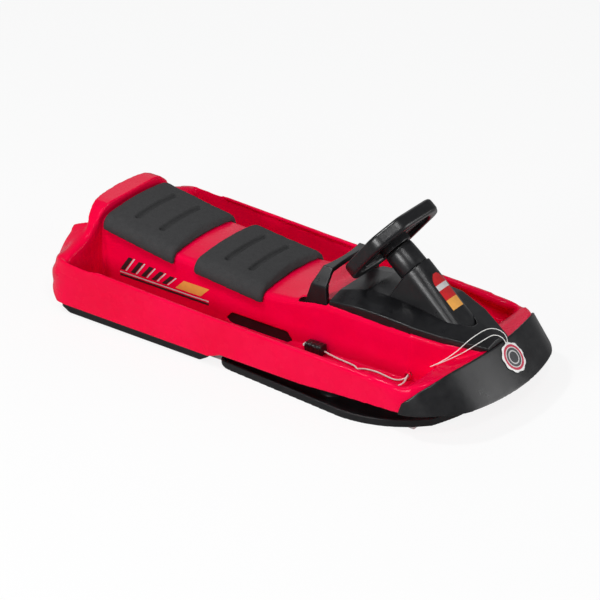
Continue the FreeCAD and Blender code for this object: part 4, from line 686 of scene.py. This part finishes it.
# %% Rolled rim
shell = skin_tree(nodes["hull_shell"].data)
above_sled, lowest_rim, usual_rim = 0.3, 0.08, 0.1
search_from, search_to, search_step = tub_high[1] + 0.004, 0.15, 0.0005
rim_start, rim_end, bead_end = -0.42, 0.4, 0.424
rim_xs = [rim_start, 0.1, 0.3, 0.38, 0.41, bead_end]
rim_radii = [0.0035, 0.0055, 0.009, 0.014, 0.0135, 0.006]
rim_inset, rim_drop = 0.0008, 0.62


def rim_place(x, side):
    """The outer top edge of the side wall at one place along the sled, found from above."""
    for out in np.arange(search_from, search_to, -search_step):
        hit, _, _, _ = shell.ray_cast(Vector((x, side * out, above_sled)), Vector((0, 0, -1)))
        if hit and hit.z > lowest_rim:
            return hit
    return Vector((x, side * tub_high[1], usual_rim))


def rim_ring(x, side):
    """One round ring of the bead. Past the end of the rim it keeps the rim's last place."""
    radius = float(np.interp(x, rim_xs, rim_radii))
    edge = rim_place(min(x, rim_end), side)
    middle = Vector((x, edge.y - side * (radius + rim_inset), edge.z - rim_drop * radius))
    return [(x, middle.y + radius * math.cos(turn), middle.z + radius * math.sin(turn))
            for turn in np.linspace(0, 2 * math.pi, 24, endpoint=False)]


# %% Floor step
step_start, step_end = -0.0942, -0.0598
floor_rear, floor_front = 0.03, 0.044
step_inner, step_outer, step_skin = 0.124, 0.238, 0.0046
step_clear, step_overlap = 0.0001, 0.012


def step_ring(x, side):
    """A slab just below the slanted step of a well's floor."""
    top = np.interp(x, [step_start, step_end], [floor_rear, floor_front]) - step_clear
    return [(x, side * out, z) for out, z in ((step_inner, top - step_skin), (step_inner, top),
                                              (step_outer, top), (step_outer, top - step_skin))]


step_places = (step_start - step_overlap, step_start, step_end, step_end + step_overlap)
rim_places = np.linspace(rim_start, bead_end, 60)
riser_places = np.linspace(crest_x - 0.01, riser_xs[-1], 9)
tub_forms = []
for side in (-1, 1):
    tub_forms.append(loft("floor_step", [step_ring(x, side) for x in step_places], tub_red))
    tub_forms.append(loft("rolled_rim", [rim_ring(x, side) for x in rim_places], tub_red))
    tub_forms.append(loft("fairing", [fairing_ring(out, side) for out in fairing_outs], tub_red))
    tub_forms.append(loft("riser", [riser_ring(x, side) for x in riser_places], tub_red))
print("forms joined to the tub:", len(tub_forms))

# %% Corners of the tub
tail_drop, drop_from, drop_over = 0.027, 0.045, 0.08
drop_front, drop_inner, drop_outer = crest_x - 0.02, 0.15, 0.2
# Each row: where a corner starts and ends along the sled, its least distance from the middle, its least
# height, and how many times it is relaxed.
round_corners = [(0.27, 0.5, 0.14, 0.085, 24), (0.35, 0.45, 0.205, 0.08, 110),
                 (-math.inf, crest_x + 0.08, pad_high[1] + 0.003, 0.06, 60)]


def tub_form(mesh):
    """Lower the tail's corners, then round off the corners at the nose, rim and tail."""
    spots = places(mesh)
    x, y, z = spots.T
    out = np.abs(y)
    corner = eased(-x, -drop_front, -tub_low[0]) * eased(out, drop_inner, drop_outer)
    spots[:, 2] = z - tail_drop * corner * np.clip((z - drop_from) / drop_over, 0, 1)
    put(mesh, spots)
    for rear, front, inner, low, times in round_corners:
        relaxed(mesh, (x > rear) & (x < front) & (out > inner) & (z > low), times)


# %% Tub
tub = moulded("tub_skin", "hull_shell", cell=0.002, relax=10, share=0.16, finish=tub_red,
              body="hull", shaped=tub_form, joined=tub_forms)

# %% [markdown]
# ## Bumper and cowl
# The rivets of the bumper sit in blind holes that leave only a thin wall outside. The even skin would sink
# there, so a small ball fills the end of each hole before the skin is rebuilt.

# %% Bumper and cowl
plug_radius, plug_depth = 0.0039, 0.0023
rivet_reach, tip_slice, nose_middle = 0.04, 0.0003, 0.3


def far_groups(spots, reach):
    """Sort the points of small pieces that lie far apart into one group per piece."""
    groups = []
    for spot in spots:
        near = [group for group in groups if np.linalg.norm(group[0] - spot) < reach]
        if near:
            near[0].append(spot)
        else:
            groups.append([spot])
    return [np.array(group) for group in groups]


def rivet_plug(rivet):
    """A small ball at the outer end of a rivet."""
    middle = rivet.mean(axis=0)
    _, spread, axes = np.linalg.svd(rivet - middle)
    axis = axes[2] if spread[0] - spread[1] < spread[1] - spread[2] else axes[0]
    axis = axis * math.copysign(1.0, axis @ (middle - (nose_middle, 0.0, middle[2])))
    along = rivet @ axis
    tip = rivet[along > along.max() - tip_slice].mean(axis=0)
    bm = bmesh.new()
    bmesh.ops.create_icosphere(bm, subdivisions=3, radius=plug_radius)
    bmesh.ops.translate(bm, vec=Vector(tip - plug_depth * axis), verts=bm.verts[:])
    mesh = bpy.data.meshes.new("rivet_plug")
    bm.to_mesh(mesh)
    bm.free()
    plug = bpy.data.objects.new("rivet_plug", mesh)
    scene.collection.objects.link(plug)
    return plug


plugs = [rivet_plug(rivet) for rivet in far_groups(places(nodes["bumper_rivets"].data), rivet_reach)]
print("rivet holes filled:", len(plugs))
moulded("nose_bumper_skin", "nose_bumper", cell=0.0016, relax=14, share=0.2, finish=satin_black,
        body="hull", joined=plugs)
moulded("steering_cowl_skin", "steering_cowl", cell=0.0013, relax=14, share=0.2, finish=satin_black,
        body="hull")

# %% [markdown]
# ## Steering column
# The column's fixed foot is a round tube at its top that spreads into a flat-sided foot on the cowl. The
# convex hull of a short tube and a rectangle with a rounded front is exactly that form: a flat triangle on
# each side, and a smooth cone at each corner. The turning sleeve above is a little slimmer, with rounded
# edges.

# %% Column foot and sleeve
shaft_points = places(nodes["steering_shaft"].data)
shaft_middle = shaft_points.mean(axis=0)
_, _, shaft_axes = np.linalg.svd(shaft_points - shaft_middle)
column_up = shaft_axes[0] * math.copysign(1.0, shaft_axes[0][2])
column_side = np.array([0.0, 1.0, 0.0])
column_front = np.cross(column_side, column_up)
column_front *= math.copysign(1.0, column_front[0])


def on_column(height, radius, turn):
    return (shaft_middle + column_up * height
            + radius * (math.cos(turn) * column_front + math.sin(turn) * column_side))


def heights(node):
    return (places(nodes[node].data) - shaft_middle) @ column_up


seam = heights("column_tower").max()
tower_low, tower_high = (np.array(corner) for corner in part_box("column_tower"))
foot_radius, foot_sunk = 0.0405, 0.019
foot_level = tower_low[2] - foot_sunk
foot_rear, foot_front = tower_high[0] - 0.248, tower_high[0] - 0.002
foot_round = 0.036
foot_half_rear, foot_half_front = 0.0555, 0.042
turns = np.linspace(0, 2 * math.pi, 96, endpoint=False)
seam_rings = ((0.0, 0.0015), (0.0015, 0.0), (0.012, 0.0))
foot_points = [on_column(seam - depth, foot_radius - shrink, turn)
               for depth, shrink in seam_rings for turn in turns]
foot_points += [(foot_rear, side * foot_half_rear, foot_level) for side in (-1, 1)]
foot_points += [(foot_front - foot_round * (1 - math.cos(turn)),
                 side * (foot_half_front - foot_round) + foot_round * math.sin(turn), foot_level)
                for side in (-1, 1) for turn in turns[::4]]
bm = bmesh.new()
for point in foot_points:
    bm.verts.new(tuple(point))
bmesh.ops.convex_hull(bm, input=bm.verts[:])
bmesh.ops.delete(bm, geom=[v for v in bm.verts if not v.link_faces], context="VERTS")
tower_mesh = bpy.data.meshes.new("column_foot")
bm.to_mesh(tower_mesh)
bm.free()
tower = bpy.data.objects.new("column_foot", tower_mesh)
scene.collection.objects.link(tower)
evened(tower, cell=0.0014, relax=4)
tower_thin = tower.modifiers.new("thin", "DECIMATE")
tower_thin.ratio = 0.25
tower_mesh = settled(tower)
tower_mesh.shade_smooth()
tower_mesh.materials.append(satin_black)
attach(tower, "hull")
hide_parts("column_tower")

sleeve_heights = heights("wheel_sleeve")
sleeve_low, sleeve_high = sleeve_heights.min(), sleeve_heights.max()
sleeve_profile = [(sleeve_low, 0.030), (sleeve_low, 0.0345), (sleeve_low + 0.0006, 0.0355),
                  (sleeve_low + 0.002, 0.036), (sleeve_low + 0.03, 0.0358),
                  (sleeve_high - 0.012, 0.0352), (sleeve_high - 0.006, 0.0346),
                  (sleeve_high - 0.002, 0.033), (sleeve_high, 0.030)]
sleeve = loft("wheel_sleeve_tube", [[tuple(on_column(height, radius, turn)) for turn in turns]
                                    for height, radius in sleeve_profile], satin_black)
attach(sleeve, "steering")
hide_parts("wheel_sleeve")
print("column foot faces:", len(tower_mesh.polygons))

# %% Wheel, cap, bail, runners and skis
# Each row: label, node, cell size, times relaxed, share of faces kept, finish and body.
small_skins = [("steering_wheel_skin", "steering_wheel", 0.0014, 7, 0.25, satin_black, "steering"),
               ("wheel_cap_skin", "wheel_cap", 0.001, 6, 0.3, satin_black, "steering"),
               ("brake_bail_skin", "brake_bail", 0.0011, 8, 0.25, satin_black, "brake")]
for side in ("left", "right"):
    small_skins.append(("rear_runner_skin_" + side, "rear_runner_" + side,
                        0.0016, 6, 0.2, runner_black, "hull"))
    small_skins.append(("front_ski_skin_" + side, "front_ski_" + side,
                        0.0016, 5, 0.2, runner_black, "ski_" + side))
for label, node, cell, relax, share, finish, body in small_skins:
    moulded(label, node, cell, relax, share, finish, body)

# %% [markdown]
# ## Seat pads
# Each pad is a slab of foam pressed in a hot mould: it swells a little between its edges, keeps a flat
# seat, and has two wide channels pressed across it. The swelling is a short cloth simulation under
# pressure, capped so that the pad keeps its size. The channels are pressed afterwards as soft capsules.

# %% Swollen pads
channel_shares = (0.33, 0.67)
channel_half, channel_radius, channel_depth = 0.08, 0.0095, 0.006
swell_frames = 20
held_below, held_over = -0.2, 0.5
top_above, top_over = 0.4, 0.4


def facing_up(mesh):
    """How far each point of a mesh faces up, from -1 to 1."""
    normals = np.empty(len(mesh.vertices) * 3)
    mesh.vertices.foreach_get("normal", normals)
    return normals.reshape(-1, 3)[:, 2]


def swollen(pad, pressure, reach):
    """Blow the pad up as cloth. No point moves further than reach, and the underside stays."""
    start = places(pad.data)
    free = np.clip((facing_up(pad.data) - held_below) / held_over, 0, 1)
    cloth = pad.modifiers.new("swell", "CLOTH")
    cloth.settings.use_pressure = True
    cloth.settings.uniform_pressure_force = pressure
    cloth.settings.effector_weights.gravity = 0.0
    for moment in range(1, swell_frames + 1):
        scene.frame_set(moment)
    moved = settled(pad)
    shift = places(moved) - start
    size = np.maximum(np.linalg.norm(shift, axis=1), 1e-9)
    put(moved, start + shift * (np.minimum(1, reach / size) * free)[:, None])
    scene.frame_set(1)


def pressed(mesh, low, high):
    """Press the channels into the top of the pad."""
    spots = places(mesh)
    on_top = np.clip((facing_up(mesh) - top_above) / top_over, 0, 1)
    for share in channel_shares:
        centre = low[0] + share * (high[0] - low[0])
        past_end = np.maximum(np.abs(spots[:, 1]) - (channel_half - channel_radius), 0)
        away = np.hypot(spots[:, 0] - centre, past_end)
        spots[:, 2] -= channel_depth * (1 - eased(away, 0.6 * channel_radius, channel_radius)) * on_top
    put(mesh, spots)


for node in ("seat_pad_rear", "seat_pad_front"):
    pad = bpy.data.objects.new(node + "_foam", nodes[node].data.copy())
    scene.collection.objects.link(pad)
    evened(pad, cell=0.004, relax=9)
    settled(pad)
    swollen(pad, pressure=4.0, reach=0.0022)
    finer = pad.modifiers.new("finer", "SUBSURF")
    finer.levels = 1
    pad_mesh = settled(pad)
    pressed(pad_mesh, *(np.array(corner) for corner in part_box(node)))
    pad_mesh.shade_smooth()
    pad_mesh.materials.clear()
    pad_mesh.materials.append(pad_foam)
    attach(pad, "hull")
    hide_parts(node)
    print(node, "points:", len(pad_mesh.vertices))

# %% [markdown]
# ## Printed films
# The sled carries thin printed films: a strip on each side of the seat and a small panel on the column.
# Each is drawn as flat patches in its own plane and then dropped onto the skin below, so that it follows
# the curve, half a millimetre clear of it. The designs are plain stripes and blocks.

# %% Films
def film_finish(label, colour, rough):
    finish, tree, shader = new_finish(label)
    mottle(tree, shader, 120.0, tuple(0.9 * c for c in colour), colour)
    bloom(tree, shader, 70.0, rough, rough + 0.12)
    return finish


film_silver = film_finish("film_silver", (0.62, 0.60, 0.60), 0.28)
film_black = film_finish("film_black", (0.016, 0.015, 0.016), 0.3)
film_amber = film_finish("film_amber", (0.78, 0.36, 0.07), 0.32)
film_scarlet = film_finish("film_scarlet", (0.55, 0.012, 0.016), 0.26)


def dropped(label, patches, onto, spot, way, body, clear=0.0005, steps=10):
    """Drop flat patches (four corners and a finish) along a direction onto a skin."""
    tree = skin_tree(onto.data)
    way = Vector(way).normalized()
    verts, faces, kinds, finishes = [], [], [], []
    for corners, finish in patches:
        if finish not in finishes:
            finishes.append(finish)
        first = len(verts)
        for i in range(steps + 1):
            for j in range(steps + 1):
                u, v = i / steps, j / steps
                flat = [(1 - u) * (1 - v) * a + u * (1 - v) * b + u * v * c + (1 - u) * v * d
                        for a, b, c, d in zip(*corners)]
                start = spot(*flat)
                hit, _, _, _ = tree.ray_cast(start, way)
                verts.append((hit if hit else start) - way * clear)
        for i in range(steps):
            for j in range(steps):
                k = first + i * (steps + 1) + j
                faces.append((k, k + 1, k + steps + 2, k + steps + 1))
                kinds.append(finishes.index(finish))
    piece = new_piece(label, verts, faces, finishes[0])
    for finish in finishes[1:]:
        piece.data.materials.append(finish)
    for face, kind in zip(piece.data.polygons, kinds):
        face.material_index = kind
    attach(piece, body)


def slanted(left, right, low, high, lean):
    return ((left, low), (right, low), (right + lean, high), (left + lean, high))


strip_left, strip_right, strip_low, strip_high = -0.452, -0.19, 0.088, 0.128
stripe_low, stripe_lean = strip_low + 0.004, 0.024
stripe_step, stripe_drop = 0.031, 0.003
black_wide, silver_from, silver_to = 0.013, 0.0155, 0.0195
seat_clear = 0.16


def beside_seat(side):
    """The plane that a side film is drawn in, clear of the seat's side."""
    def start(x, z):
        return Vector((x, side * seat_clear, z))
    return start


block_left, block_right = strip_right - 0.098, strip_right - 0.024
side_patches = [(slanted(strip_left, strip_right, strip_low - 0.004, strip_low - 0.001, 0.0), film_silver),
                (slanted(strip_left, strip_right, strip_low - 0.012, strip_low - 0.007, 0.0), film_black),
                (slanted(block_left, block_right, stripe_low, strip_high - 0.012, stripe_lean), film_amber)]
for number in range(5):
    start = strip_left + stripe_step * number
    top = strip_high - stripe_drop * number
    black = slanted(start, start + black_wide, stripe_low, top, stripe_lean)
    silver = slanted(start + silver_from, start + silver_to, stripe_low, top, stripe_lean)
    side_patches += [(black, film_black), (silver, film_silver)]
for side, label in ((-1, "right"), (1, "left")):
    dropped("side_film_" + label, side_patches, tub, beside_seat(side), (0, -side, 0), "hull")
print("patches in a side film:", len(side_patches))

# %% Column panel
panel_middle, panel_start = -0.083, 0.12
panel_half, panel_long = 0.0195, 0.046
round_from, round_least = 0.45, 0.12
amber_top, silver_low, silver_high = -0.4, 0.2, 0.4


def on_panel(across, along):
    """The plane that the panel is drawn in, in front of the column."""
    centre = Vector(shaft_middle + column_up * (seam + panel_middle + along) + column_front * panel_start)
    return centre + Vector(column_side) * across


def panel_edge(row):
    """Half the panel's width at one row. Its top is rounded."""
    round_top = max(0.0, row - round_from) / (1 - round_from)
    return panel_half * math.sqrt(max(round_least, 1 - round_top ** 2))


panel_rows = np.linspace(-1, 1, 15)
panel_patches = []
for low, high in zip(panel_rows[:-1], panel_rows[1:]):
    finish = film_scarlet
    if high < amber_top:
        finish = film_amber
    elif silver_low < (low + high) / 2 < silver_high:
        finish = film_silver
    lower, upper = panel_edge(low), panel_edge(high)
    bottom, top = low * panel_long, high * panel_long
    panel_patches.append((((-lower, bottom), (lower, bottom), (upper, top), (-upper, top)), finish))
dropped("column_panel", panel_patches, tower, on_panel, tuple(-column_front), "hull", steps=4)
print("films laid on the seat sides and the column")
